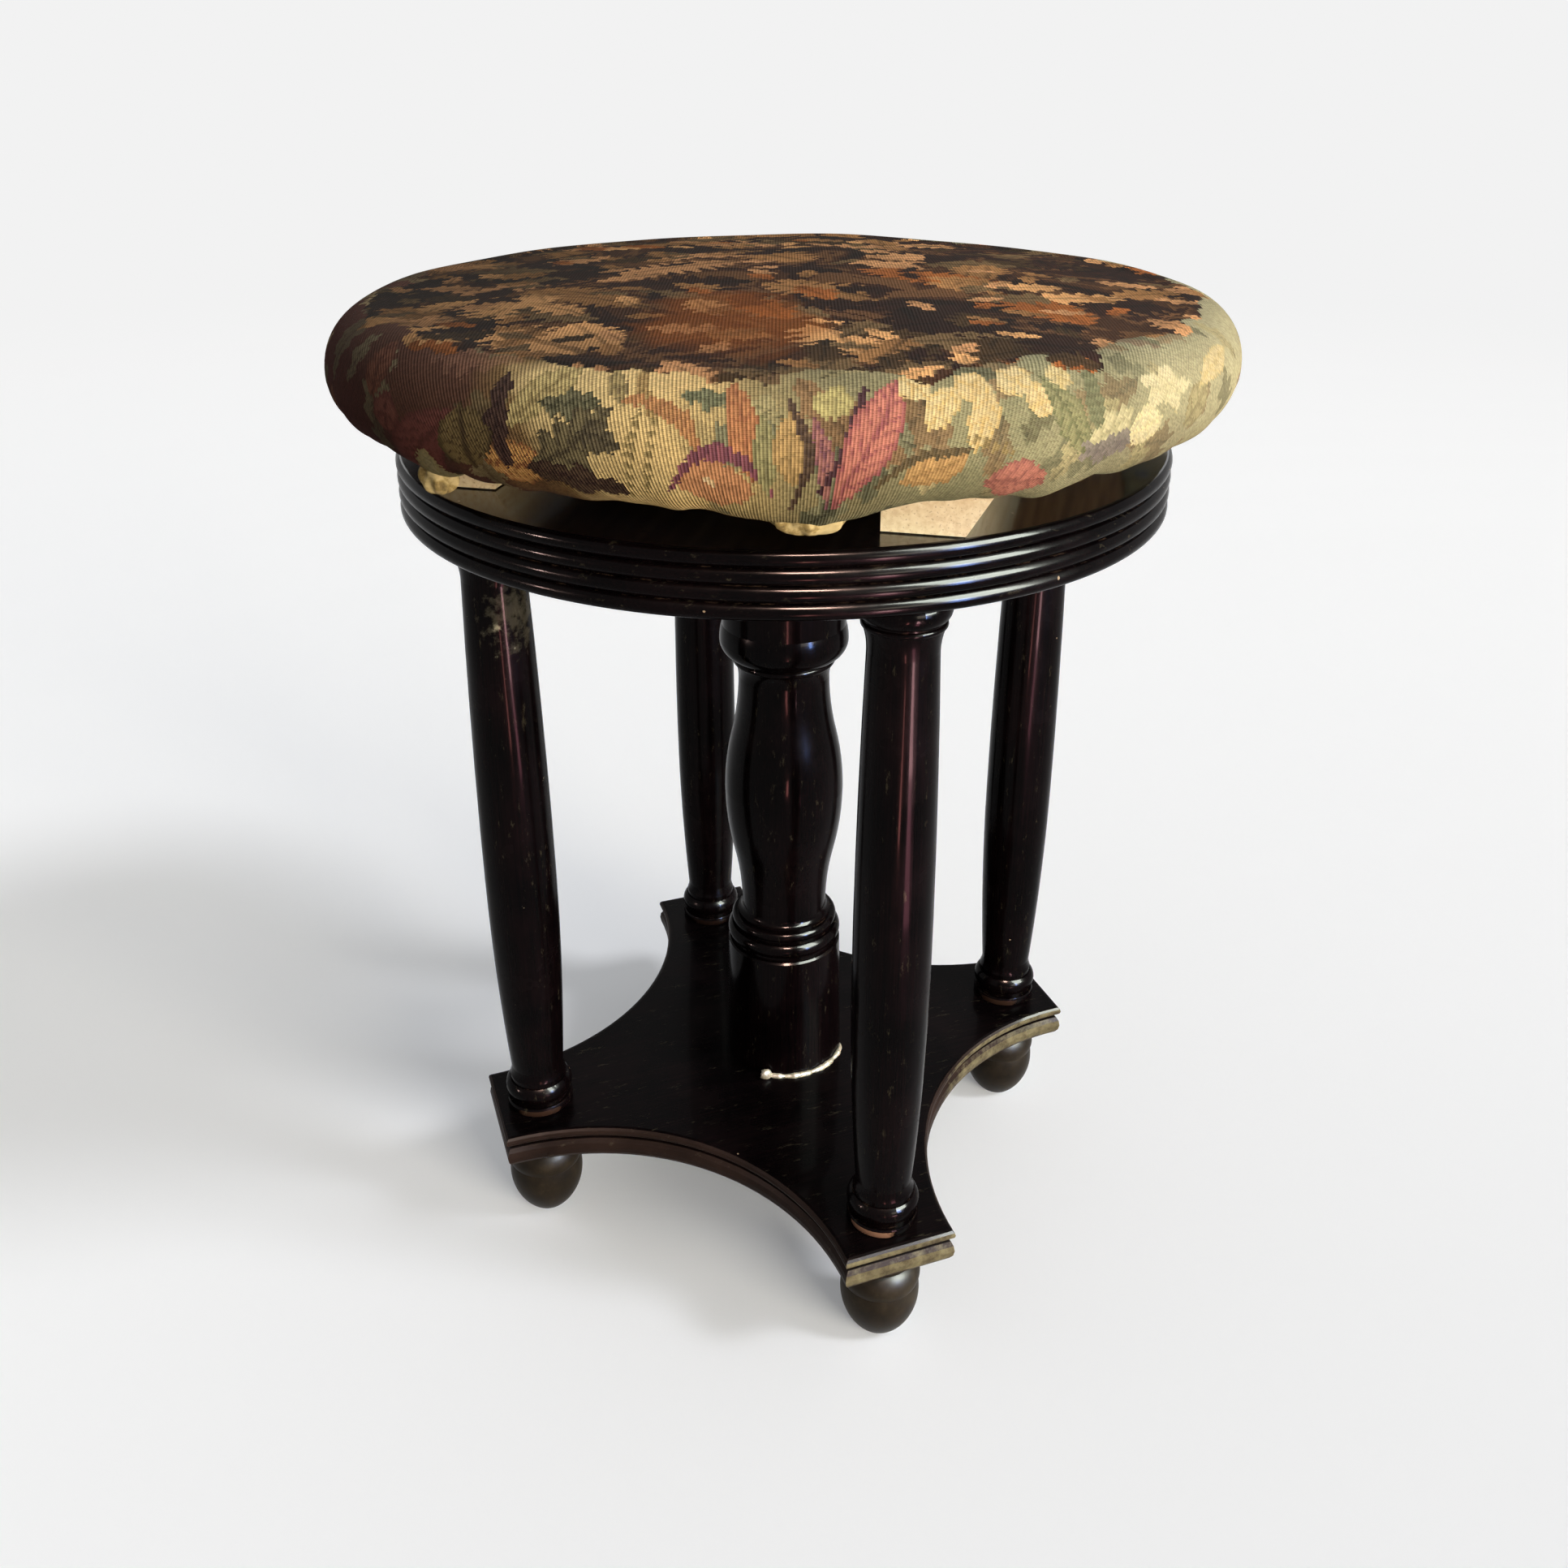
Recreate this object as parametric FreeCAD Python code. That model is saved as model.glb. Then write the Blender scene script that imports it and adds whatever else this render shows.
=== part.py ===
import FreeCAD, Part
import math
import os

# A revolving piano stool. Four turned columns and a bored central baluster stand on a plate with
# hollowed sides and four turned feet. They carry a round top board with a reeded edge. A steel
# screw hangs under the upholstered seat and runs in an iron nut let into the top board.
# Millimetres, +Z up, origin on the floor under the screw. The seat is modelled screwed right down.

Vector = FreeCAD.Vector
UP = Vector(0, 0, 1)
ORIGIN = Vector(0, 0, 0)

# Heights of the main members, from the floor up
foot_height = 49.0
plate_thickness = 18.0
column_height = 310.8
top_board_thickness = 26.0
rest_gap = 0.5
cleat_thickness = 18.2
seat_board_thickness = 15.0
seat_crown_height = 33.5

# Fits and allowances
wood_fit = 0.05
screw_fit = 0.05
running_fit = 0.06
soft_gap = 0.3
stop_gap = 0.3
overrun = 2.0

# Foot, a turned cup on a collar
foot_sole_radius = 9.5
foot_ball_radius = 17.9
foot_ball_height = 29.0
foot_ball_swell = 3.9
foot_shoulder_radius = 14.8
foot_shoulder_swell = 2.3
foot_neck_height = 41.5
foot_collar_radius = 14.6
foot_collar_bead = 1.9
foot_collar_edge = 1.0
foot_socket_depth = 13.0

# Plate: hollow sides struck from four centres, arms cut off square, and a broad bead along the
# edge under a slim one
plate_margin = 22.4
plate_arm_half_width = 27.0
plate_waist_radius = 90.2
plate_broad_bead_depth = 3.4
plate_broad_bead_height = 11.6
plate_slim_bead_depth = 2.4
plate_groove_height = 1.0
plate_bead_steps = 6

# Column, with its tenons
column_circle_radius = 133.0
column_tenon_radius = 8.0
column_tenon_length = 12.0
column_tenon_clearance = 0.5
column_disc_radius = 15.9
column_disc_height = 4.5
column_disc_edge = 0.6
column_groove_radius = 14.4
column_groove_height = 1.6
column_foot_bead_height = 9.5
column_foot_bead = 2.2
column_fillet_radius = 13.9
column_fillet_height = 2.6
column_ankle_radius = 12.9
column_ankle_rise = 5.0
column_belly_radius = 16.8
column_belly_height = 132.0
column_neck_radius = 14.2
column_neck_drop = 27.5
column_flare_radius = 15.9
column_flare_rise = 10.0
column_ring_height = 2.6
column_ring_bead = 0.9
column_cap_step = 0.9
column_cap_bead_height = 9.0
column_cap_bead = 1.8
column_cap_radius = 16.6

# Baluster, bored for the screw
plinth_foot_radius = 30.2
plinth_head_radius = 28.8
plinth_height = 69.6
plinth_arris = 0.8
baluster_tenon_radius = 15.0
baluster_tenon_length = 12.0
baluster_groove_radius = 26.8
baluster_groove_height = 2.0
lower_torus_height = 7.2
lower_torus_bead = 1.9
torus_fillet_radius = 25.4
torus_fillet_height = 1.5
upper_bead_height = 4.7
upper_bead = 1.3
neck_fillet_radius = 23.6
neck_fillet_height = 1.4
lower_neck_radius = 21.3
lower_neck_rise = 3.4
belly_radius = 29.2
belly_height = 157.0
upper_neck_radius = 21.8
upper_neck_height = 218.0
vase_low_share = 0.5
vase_high_share = 0.5
neck_ring_radius = 23.4
neck_ring_rise = 6.5
neck_ring_height = 3.6
neck_ring_bead = 1.2
capital_under_radius = 24.4
capital_swell_radius = 30.7
capital_swell_rise = 8.6
capital_under_swell = 1.7
capital_radius = 29.5
capital_ease = 8.0
capital_tenon_radius = 22.0
capital_tenon_length = 8.0

# Top board with its reeds
top_board_overhang = 35.0
reed_count = 4
reed_depth = 2.4
board_corner = 0.6

# Nut let into the top board, held by countersunk screws
nut_flange_radius = 35.0
nut_flange_thickness = 4.0
nut_barrel_radius = 17.0
nut_screw_circle = 26.0
nut_screw_count = 3

# Spindle, its plate under the seat, and the stop at its lower end
spindle_radius = 10.0
spindle_rivet_radius = 7.0
seat_lift = 100.0
stop_washer_clearance = 0.9
stop_washer_thickness = 3.0
stop_stem_radius = 5.5
stop_nut_radius = 10.5
stop_nut_thickness = 6.0
bore_radius = 14.2
bore_room = 12.0
flange_reach = 52.0
flange_arm_width = 26.0
flange_thickness = 5.0
flange_hub_radius = 18.0
flange_hub_height = 7.0
flange_screw_circle = 41.0
flange_screw_count = 4

# Wood screws
screw_head_radius = 4.2
screw_head_height = 2.6
screw_shank_radius = 2.1
screw_point_length = 3.0
screw_slot_width = 1.0
screw_slot_depth = 1.0
screw_bite = 10.0
screw_turn_degrees = 37.0

# Seat board and the two bevelled cleats under it, turned as the seat stood in the photograph
seat_turn_degrees = -33.0
seat_board_radius = 175.0
seat_board_edge = 2.0
cleat_width = 41.0
cleat_bevel = 11.0
cleat_setback = 9.0
right_cleat_edge = 66.0
left_cleat_edge = -116.0
cleat_screw_spacing = 88.0
cleat_screw_count = 3

# Cover and padding
cover_thickness = 1.4
seat_side_padding = 16.5
seat_shoulder_setback = 28.5
seat_shoulder_drop = 6.0
seat_shoulder_swell = 10.0
seat_roll_setback = 3.0
seat_roll_swell = 4.6
hem_turn_in = 25.0
tack_setback = 17.0
tack_count = 24
tack_head_radius = 3.2
tack_head_thickness = 0.8
tack_shank_radius = 0.7
tack_length = 9.0
tack_keep_off = 5.0

# Levels worked out from the heights
plate_bottom = foot_height
plate_top = plate_bottom + plate_thickness
board_bottom = plate_top + column_height
board_top = board_bottom + top_board_thickness
cleat_bottom = board_top + rest_gap
seat_board_bottom = cleat_bottom + cleat_thickness
seat_board_top = seat_board_bottom + seat_board_thickness
seat_top = seat_board_top + seat_crown_height
nut_bottom = board_bottom + capital_tenon_length
washer_top = nut_bottom - seat_lift - stop_gap
shoulder_level = washer_top + stop_gap
washer_bottom = washer_top - stop_washer_thickness
stop_nut_top = washer_bottom - stop_gap
stop_nut_bottom = stop_nut_top - stop_nut_thickness
bore_bottom = stop_nut_bottom - bore_room
flange_bottom = seat_board_bottom - flange_thickness
hub_bottom = flange_bottom - flange_hub_height
hem_level = seat_board_bottom - soft_gap - cover_thickness

# Sizes in plan worked out from the circles that carry them
plate_reach = column_circle_radius + plate_margin
top_board_radius = column_circle_radius + top_board_overhang
stop_washer_radius = bore_radius - stop_washer_clearance
cleat_reach = seat_board_radius - cleat_setback
seat_radius = seat_board_radius + seat_side_padding
tack_circle_radius = seat_board_radius - tack_setback
nut_screw_length = nut_flange_thickness + screw_bite
flange_screw_length = flange_thickness + screw_bite
cleat_screw_length = cleat_thickness + screw_bite

sides = {"front": 270.0, "right": 0.0, "back": 90.0, "left": 180.0}


def line(start, end):
    return Part.LineSegment(start, end).toShape()


def arc(start, end, bulge):
    # A circular arc whose middle stands out from the chord by bulge, to the right of its travel
    chord = end - start
    outward = Vector(chord.z, 0, -chord.x)
    outward.normalize()
    middle = (start + end) * 0.5 + outward * bulge
    return Part.Arc(start, middle, end).toShape()


def turned(steps):
    # A solid of revolution about Z. Each step is the radius and height that the outline reaches
    # next, from the bottom up; a third number makes that stretch an arc with this bulge.
    start = Vector(0, 0, steps[0][1])
    edges = []
    here = start
    for step in steps:
        there = Vector(step[0], 0, step[1])
        if len(step) == 3:
            edges.append(arc(here, there, step[2]))
        elif there != here:
            edges.append(line(here, there))
        here = there
    axis_top = Vector(0, 0, here.z)
    if here.x > 0:
        edges.append(line(here, axis_top))
    edges.append(line(axis_top, start))
    return Part.Face(Part.Wire(edges)).revolve(ORIGIN, UP, 360)


def upright_bulge(from_radius, from_height, to_radius, to_height):
    # Bulge of the arc between two points that stands upright at one of them
    across = abs(to_radius - from_radius)
    rise = abs(to_height - from_height)
    return math.hypot(across, rise) / 2 * math.tan(math.atan2(across, rise) / 2)


def swell(low, high, low_share):
    # Two arcs that leave both ends upright and meet on the chord, low_share of the way up
    radius = low[0] + (high[0] - low[0]) * low_share
    height = low[1] + (high[1] - low[1]) * low_share
    side = 1 if low[0] > high[0] else -1
    low_bulge = side * upright_bulge(low[0], low[1], radius, height)
    high_bulge = -side * upright_bulge(radius, height, high[0], high[1])
    return [(radius, height, low_bulge), (high[0], high[1], high_bulge)]


def cylinder(radius, bottom, top, x=0, y=0):
    return Part.makeCylinder(radius, top - bottom, Vector(x, y, bottom), UP)


def on_circle(radius, degrees):
    angle = math.radians(degrees)
    return Vector(radius * math.cos(angle), radius * math.sin(angle), 0)


def at_sides(shape, degrees):
    # The shape, made on the axis, moved out to the column on that side and turned to face out
    copy = shape.copy()
    copy.rotate(ORIGIN, UP, degrees)
    copy.translate(on_circle(column_circle_radius, degrees))
    return copy


def foot():
    neck = foot_neck_height
    steps = [
        (foot_sole_radius, 0),
        (foot_ball_radius, foot_ball_height, foot_ball_swell),
        (foot_shoulder_radius, neck, foot_shoulder_swell),
        (foot_collar_radius, neck),
        (foot_collar_radius, foot_height - foot_collar_edge, foot_collar_bead),
        (foot_collar_radius, foot_height),
    ]
    socket_bottom = foot_height - foot_socket_depth
    return turned(steps).cut(cylinder(column_tenon_radius + wood_fit, socket_bottom, foot_height + overrun))


def plate_outline(inset, height):
    # The plate's outline at one height, drawn in from its widest by inset. Each hollow is an arc
    # about a point as far along X as along Y, through an arm's corner and the waist between arms.
    centre = plate_reach ** 2 + plate_arm_half_width ** 2 - plate_waist_radius ** 2
    centre /= 2 * (plate_reach + plate_arm_half_width - math.sqrt(2) * plate_waist_radius)
    radius = math.sqrt(2) * centre - plate_waist_radius + inset
    end = plate_reach - inset
    half_width = centre - math.sqrt(radius ** 2 - (end - centre) ** 2)
    nearest = centre - radius * math.sqrt(0.5)
    edges = []
    for quarter in range(4):
        turn = quarter * 90
        points = [(end, -half_width), (end, half_width), (nearest, nearest), (half_width, end)]
        placed = []
        for x, y in points:
            placed.append(FreeCAD.Rotation(UP, turn).multVec(Vector(x, y, height)))
        edges.append(line(placed[0], placed[1]))
        edges.append(Part.Arc(placed[1], placed[2], placed[3]).toShape())
    return Part.Wire(edges)


def bead_levels(bottom, top, depth):
    # Insets and heights that follow a half-round bead up the plate's edge
    levels = []
    half = (top - bottom) / 2
    for step in range(plate_bead_steps + 1):
        angle = math.pi * (step / plate_bead_steps - 0.5)
        inset = depth * (1 - math.cos(angle))
        levels.append((inset, bottom + half * (1 + math.sin(angle))))
    return levels


def base_plate():
    broad_top = plate_bottom + plate_broad_bead_height
    levels = bead_levels(plate_bottom, broad_top, plate_broad_bead_depth)
    levels += bead_levels(broad_top + plate_groove_height, plate_top, plate_slim_bead_depth)
    outlines = [plate_outline(inset, height) for inset, height in levels]
    plate = Part.makeLoft(outlines, True, True)
    mortise = cylinder(column_tenon_radius + wood_fit, plate_bottom - overrun, plate_top + overrun)
    cuts = [at_sides(mortise, degrees) for degrees in sides.values()]
    tenon_bottom = plate_top - baluster_tenon_length - column_tenon_clearance
    cuts.append(cylinder(baluster_tenon_radius + wood_fit, tenon_bottom, plate_top + overrun))
    return plate.cut(cuts)


def column():
    tenon_bottom = foot_height - foot_socket_depth + column_tenon_clearance
    disc_top = plate_top + column_disc_height
    bead_bottom = disc_top + column_groove_height
    bead_top = bead_bottom + column_foot_bead_height
    fillet_top = bead_top + column_fillet_height
    ankle = (column_ankle_radius, fillet_top + column_ankle_rise)
    belly = (column_belly_radius, plate_top + column_belly_height)
    neck = (column_neck_radius, board_bottom - column_neck_drop)
    flare_top = neck[1] + column_flare_rise
    ring_top = flare_top + column_ring_height
    cap_bottom = ring_top + column_cap_step
    cap_top = cap_bottom + column_cap_bead_height
    ankle_bulge = upright_bulge(column_fillet_radius, fillet_top, *ankle)
    flare_bulge = upright_bulge(*neck, column_flare_radius, flare_top)
    steps = [
        (column_tenon_radius, tenon_bottom),
        (column_tenon_radius, plate_top),
        (column_disc_radius, plate_top),
        (column_disc_radius, disc_top, column_disc_edge),
        (column_groove_radius, disc_top),
        (column_groove_radius, bead_bottom),
        (column_groove_radius, bead_top, column_foot_bead),
        (column_fillet_radius, bead_top),
        (column_fillet_radius, fillet_top),
        (ankle[0], ankle[1], -ankle_bulge),
        (belly[0], belly[1], upright_bulge(*ankle, *belly)),
        (neck[0], neck[1], upright_bulge(*belly, *neck)),
        (column_flare_radius, flare_top, -flare_bulge),
        (column_flare_radius, ring_top, column_ring_bead),
        (column_flare_radius, cap_bottom),
        (column_cap_radius, cap_bottom),
        (column_cap_radius, cap_top, column_cap_bead),
        (column_cap_radius, board_bottom),
        (column_tenon_radius, board_bottom),
        (column_tenon_radius, board_bottom + column_tenon_length),
    ]
    return turned(steps)


def baluster():
    plinth_top = plate_top + plinth_height
    torus_bottom = plinth_top + baluster_groove_height
    torus_top = torus_bottom + lower_torus_height
    bead_bottom = torus_top + torus_fillet_height
    bead_top = bead_bottom + upper_bead_height
    fillet_top = bead_top + neck_fillet_height
    low_neck = (lower_neck_radius, fillet_top + lower_neck_rise)
    belly = (belly_radius, plate_top + belly_height)
    high_neck = (upper_neck_radius, plate_top + upper_neck_height)
    ring_bottom = high_neck[1] + neck_ring_rise
    ring_top = ring_bottom + neck_ring_height
    swell_level = ring_top + capital_swell_rise
    torus_radius = plinth_head_radius - lower_torus_bead
    bead_radius = torus_fillet_radius
    steps = [
        (baluster_tenon_radius, plate_top - baluster_tenon_length),
        (baluster_tenon_radius, plate_top),
        (plinth_foot_radius, plate_top),
        (plinth_head_radius, plinth_top - plinth_arris),
        (plinth_head_radius - plinth_arris, plinth_top),
        (baluster_groove_radius, plinth_top),
        (baluster_groove_radius, torus_bottom),
        (torus_radius, torus_bottom),
        (torus_radius, torus_top, lower_torus_bead),
        (torus_fillet_radius, torus_top),
        (torus_fillet_radius, bead_bottom),
        (bead_radius, bead_top, upper_bead),
        (neck_fillet_radius, bead_top),
        (neck_fillet_radius, fillet_top),
        (low_neck[0], low_neck[1], -upright_bulge(neck_fillet_radius, fillet_top, *low_neck)),
    ]
    steps += swell(low_neck, belly, vase_low_share)
    steps += swell(belly, high_neck, vase_high_share)
    steps += [
        (neck_ring_radius, ring_bottom, -upright_bulge(*high_neck, neck_ring_radius, ring_bottom)),
        (neck_ring_radius, ring_top, neck_ring_bead),
        (capital_under_radius, ring_top),
        (capital_swell_radius, swell_level, capital_under_swell),
        (capital_radius, swell_level + capital_ease, upright_bulge(
            capital_swell_radius, swell_level, capital_radius, swell_level + capital_ease)),
        (capital_radius, board_bottom),
        (capital_tenon_radius, board_bottom),
        (capital_tenon_radius, nut_bottom),
    ]
    return turned(steps).cut(cylinder(bore_radius, bore_bottom, nut_bottom + overrun))


def top_board():
    groove_radius = top_board_radius - reed_depth
    reed_height = top_board_thickness / reed_count
    steps = [(groove_radius - board_corner, board_bottom)]
    steps.append((groove_radius, board_bottom))
    for reed in range(reed_count):
        steps.append((groove_radius, board_bottom + reed_height * (reed + 1), reed_depth))
    board = turned(steps)
    mortise_top = board_bottom + column_tenon_length + column_tenon_clearance
    mortise = cylinder(column_tenon_radius + wood_fit, board_bottom - overrun, mortise_top)
    cuts = [at_sides(mortise, degrees) for degrees in sides.values()]
    cuts.append(cylinder(capital_tenon_radius + wood_fit, board_bottom - overrun, nut_bottom))
    cuts.append(cylinder(nut_barrel_radius + wood_fit, board_bottom, board_top + overrun))
    recess_bottom = board_top - nut_flange_thickness
    cuts.append(cylinder(nut_flange_radius + wood_fit, recess_bottom, board_top + overrun))
    cuts += nut_screw_holes(nut_screw_length + wood_fit)
    return board.cut(cuts)


def screw_blank(length, fit, slotted):
    # A countersunk wood screw lying with its head's flat face at height zero and its point down
    head = screw_head_radius + fit
    shank = screw_shank_radius + fit
    steps = [
        (0, -length),
        (shank, -length + screw_point_length),
        (shank, -screw_head_height),
        (head, 0),
    ]
    screw = turned(steps)
    if slotted:
        slot_length = 2 * head + overrun
        corner = Vector(-slot_length / 2, -screw_slot_width / 2, -screw_slot_depth)
        screw = screw.cut(Part.makeBox(slot_length, screw_slot_width, screw_slot_depth + overrun, corner))
    return screw


def placed_screws(spots, level, length, fit, slotted, from_below):
    # Screws, or the holes for them, at these places with their heads flush at this level
    screws = []
    for number, spot in enumerate(spots):
        screw = screw_blank(length, fit, slotted)
        screw.rotate(ORIGIN, UP, number * screw_turn_degrees)
        if from_below:
            screw.rotate(ORIGIN, Vector(1, 0, 0), 180)
        screw.translate(Vector(spot.x, spot.y, level))
        screws.append(screw)
    return screws


def nut_screw_spots():
    return [on_circle(nut_screw_circle, 90 + 360 * n / nut_screw_count) for n in range(nut_screw_count)]


def nut_screw_holes(length):
    return placed_screws(nut_screw_spots(), board_top, length, screw_fit, False, False)


def nut_screws():
    return placed_screws(nut_screw_spots(), board_top, nut_screw_length, 0, True, False)


def spindle_nut():
    recess_bottom = board_top - nut_flange_thickness
    steps = [
        (nut_barrel_radius, nut_bottom),
        (nut_barrel_radius, recess_bottom),
        (nut_flange_radius, recess_bottom),
        (nut_flange_radius, board_top),
    ]
    bore = cylinder(spindle_radius + running_fit, nut_bottom - overrun, board_top + overrun)
    return turned(steps).cut([bore] + nut_screw_holes(nut_screw_length))


def spindle():
    steps = [
        (stop_stem_radius, stop_nut_bottom),
        (stop_stem_radius, shoulder_level),
        (spindle_radius, shoulder_level),
        (spindle_radius, hub_bottom),
        (spindle_rivet_radius, hub_bottom),
        (spindle_rivet_radius, seat_board_bottom),
    ]
    return turned(steps)


def stop_washer():
    washer = cylinder(stop_washer_radius, washer_bottom, washer_top)
    return washer.cut(cylinder(stop_stem_radius + running_fit, washer_bottom - overrun, washer_top + overrun))


def stop_nut():
    # Square nut riveted over on the end of the spindle
    side = stop_nut_radius * math.sqrt(2)
    nut = Part.makeBox(side, side, stop_nut_thickness, Vector(-side / 2, -side / 2, stop_nut_bottom))
    hole = cylinder(stop_stem_radius, stop_nut_bottom - overrun, stop_nut_top + overrun)
    return nut.cut(hole)


def flange_screw_spots():
    return [on_circle(flange_screw_circle, 360 * n / flange_screw_count) for n in range(flange_screw_count)]


def flange_screw_holes():
    return placed_screws(flange_screw_spots(), flange_bottom, flange_screw_length, screw_fit, False, True)


def flange_screws():
    return placed_screws(flange_screw_spots(), flange_bottom, flange_screw_length, 0, True, True)


def spindle_flange():
    # Cast plate with four rounded arms and a hub below
    width = flange_arm_width
    straight = flange_reach - width / 2
    plate = cylinder(flange_hub_radius, hub_bottom, seat_board_bottom)
    pieces = []
    for number in range(flange_screw_count):
        degrees = 360 * number / flange_screw_count
        arm = Part.makeBox(straight, width, flange_thickness, Vector(0, -width / 2, flange_bottom))
        end = cylinder(width / 2, flange_bottom, seat_board_bottom, straight)
        for piece in (arm, end):
            piece.rotate(ORIGIN, UP, degrees)
            pieces.append(piece)
    plate = plate.fuse(pieces).removeSplitter()
    bore = cylinder(spindle_rivet_radius, hub_bottom - overrun, seat_board_bottom + overrun)
    return plate.cut([bore] + flange_screw_holes())


def cleat_length(edge):
    # The cleat ends where its outer lower corner meets the circle that both cleats reach
    lower_edges = (edge, edge + cleat_width - cleat_bevel)
    farthest = max(abs(value) for value in lower_edges)
    return 2 * math.sqrt(cleat_reach ** 2 - farthest ** 2)


def cleat_blank(edge, grow):
    # A cleat lying along Y, bevelled along its right lower edge, grown all round for a notch
    half = cleat_length(edge) / 2 + grow
    bottom = cleat_bottom - grow
    top = seat_board_bottom
    outline = [
        Vector(edge - grow, -half, bottom),
        Vector(edge + cleat_width - cleat_bevel + grow, -half, bottom),
        Vector(edge + cleat_width + grow, -half, top),
        Vector(edge - grow, -half, top),
    ]
    face = Part.Face(Part.makePolygon(outline + outline[:1]))
    return face.extrude(Vector(0, 2 * half, 0))


def cleat_screw_spots(edge):
    middle = edge + (cleat_width - cleat_bevel) / 2
    first = -cleat_screw_spacing * (cleat_screw_count - 1) / 2
    return [Vector(middle, first + cleat_screw_spacing * n, 0) for n in range(cleat_screw_count)]


def cleat_screw_holes(edge):
    return placed_screws(cleat_screw_spots(edge), cleat_bottom, cleat_screw_length, screw_fit, False, True)


def cleat(edge):
    return cleat_blank(edge, 0).cut(cleat_screw_holes(edge))


def cleat_screws():
    screws = []
    for edge in (left_cleat_edge, right_cleat_edge):
        spots = cleat_screw_spots(edge)
        screws += placed_screws(spots, cleat_bottom, cleat_screw_length, 0, True, True)
    return screws


def seat_board():
    edge = seat_board_edge
    steps = [
        (seat_board_radius - edge, seat_board_bottom),
        (seat_board_radius, seat_board_bottom + edge, edge * (1 - math.sqrt(0.5))),
        (seat_board_radius, seat_board_top - edge),
        (seat_board_radius - edge, seat_board_top, edge * (1 - math.sqrt(0.5))),
    ]
    holes = flange_screw_holes() + cleat_screw_holes(left_cleat_edge) + cleat_screw_holes(right_cleat_edge)
    return turned(steps).cut(holes)


def cushion(inset):
    # The upholstered seat's outer form, drawn in all round by inset
    shoulder = seat_radius - seat_shoulder_setback
    steps = [
        (seat_board_radius - seat_roll_setback, hem_level + inset),
        (seat_radius - inset, seat_board_top, seat_roll_swell),
        (shoulder, seat_top - seat_shoulder_drop - inset, seat_shoulder_swell),
        (0, seat_top - inset, upright_bulge(0, 0, seat_shoulder_drop, shoulder)),
    ]
    return turned(steps)


def seat_cover():
    # Cloth drawn over the padding and turned in under the board, cut away round the cleats
    opening = cylinder(seat_board_radius - hem_turn_in, hem_level - overrun, seat_board_bottom)
    notches = [cleat_blank(edge, soft_gap) for edge in (left_cleat_edge, right_cleat_edge)]
    return cushion(0).cut([cushion(cover_thickness), opening] + notches)


def seat_padding():
    inside = cushion(cover_thickness + soft_gap)
    board_space = cylinder(seat_board_radius + soft_gap, cleat_bottom, seat_board_top + soft_gap)
    return inside.cut(board_space)


def tack_spots():
    # Round the hem, leaving out the places that a cleat covers
    spots = []
    for number in range(tack_count):
        spot = on_circle(tack_circle_radius, 360 * (number + 0.5) / tack_count)
        clear = True
        for edge in (left_cleat_edge, right_cleat_edge):
            beside = edge - tack_keep_off < spot.x < edge + cleat_width + tack_keep_off
            within = abs(spot.y) < cleat_length(edge) / 2 + tack_keep_off
            if beside and within:
                clear = False
        if clear:
            spots.append(spot)
    return spots


def cover_tacks():
    steps = [
        (tack_head_radius, hem_level - tack_head_thickness),
        (tack_head_radius, hem_level),
        (tack_shank_radius, hem_level),
        (0, hem_level + tack_length),
    ]
    tacks = []
    for spot in tack_spots():
        tack = turned(steps)
        tack.translate(spot)
        tacks.append(tack)
    return tacks


def export(name, shape, degrees=0):
    if isinstance(shape, list):
        shape = Part.makeCompound(shape)
    if degrees:
        shape.rotate(ORIGIN, UP, degrees)
    shape.exportStep("parts/" + name + ".step")
    print(name, len(shape.Solids), "solids", shape.isValid(), round(shape.Volume / 1000, 1), "cm3")


os.makedirs("parts", exist_ok=True)

export("base_plate", base_plate())
for side, degrees in sides.items():
    export("foot_" + side, at_sides(foot(), degrees))
    export("column_" + side, at_sides(column(), degrees))
export("baluster", baluster())
export("top_board", top_board())
export("spindle_nut", spindle_nut())
export("nut_screws", nut_screws())

export("spindle", spindle(), seat_turn_degrees)
export("stop_washer", stop_washer())
export("stop_nut", stop_nut(), seat_turn_degrees)
export("spindle_flange", spindle_flange(), seat_turn_degrees)
export("flange_screws", flange_screws(), seat_turn_degrees)
export("seat_board", seat_board(), seat_turn_degrees)
export("cleat_left", cleat(left_cleat_edge), seat_turn_degrees)
export("cleat_right", cleat(right_cleat_edge), seat_turn_degrees)
export("cleat_screws", cleat_screws(), seat_turn_degrees)
export("seat_padding", seat_padding(), seat_turn_degrees)
export("seat_cover", seat_cover(), seat_turn_degrees)
export("cover_tacks", cover_tacks(), seat_turn_degrees)
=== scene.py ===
import math
from functools import partial

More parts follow.
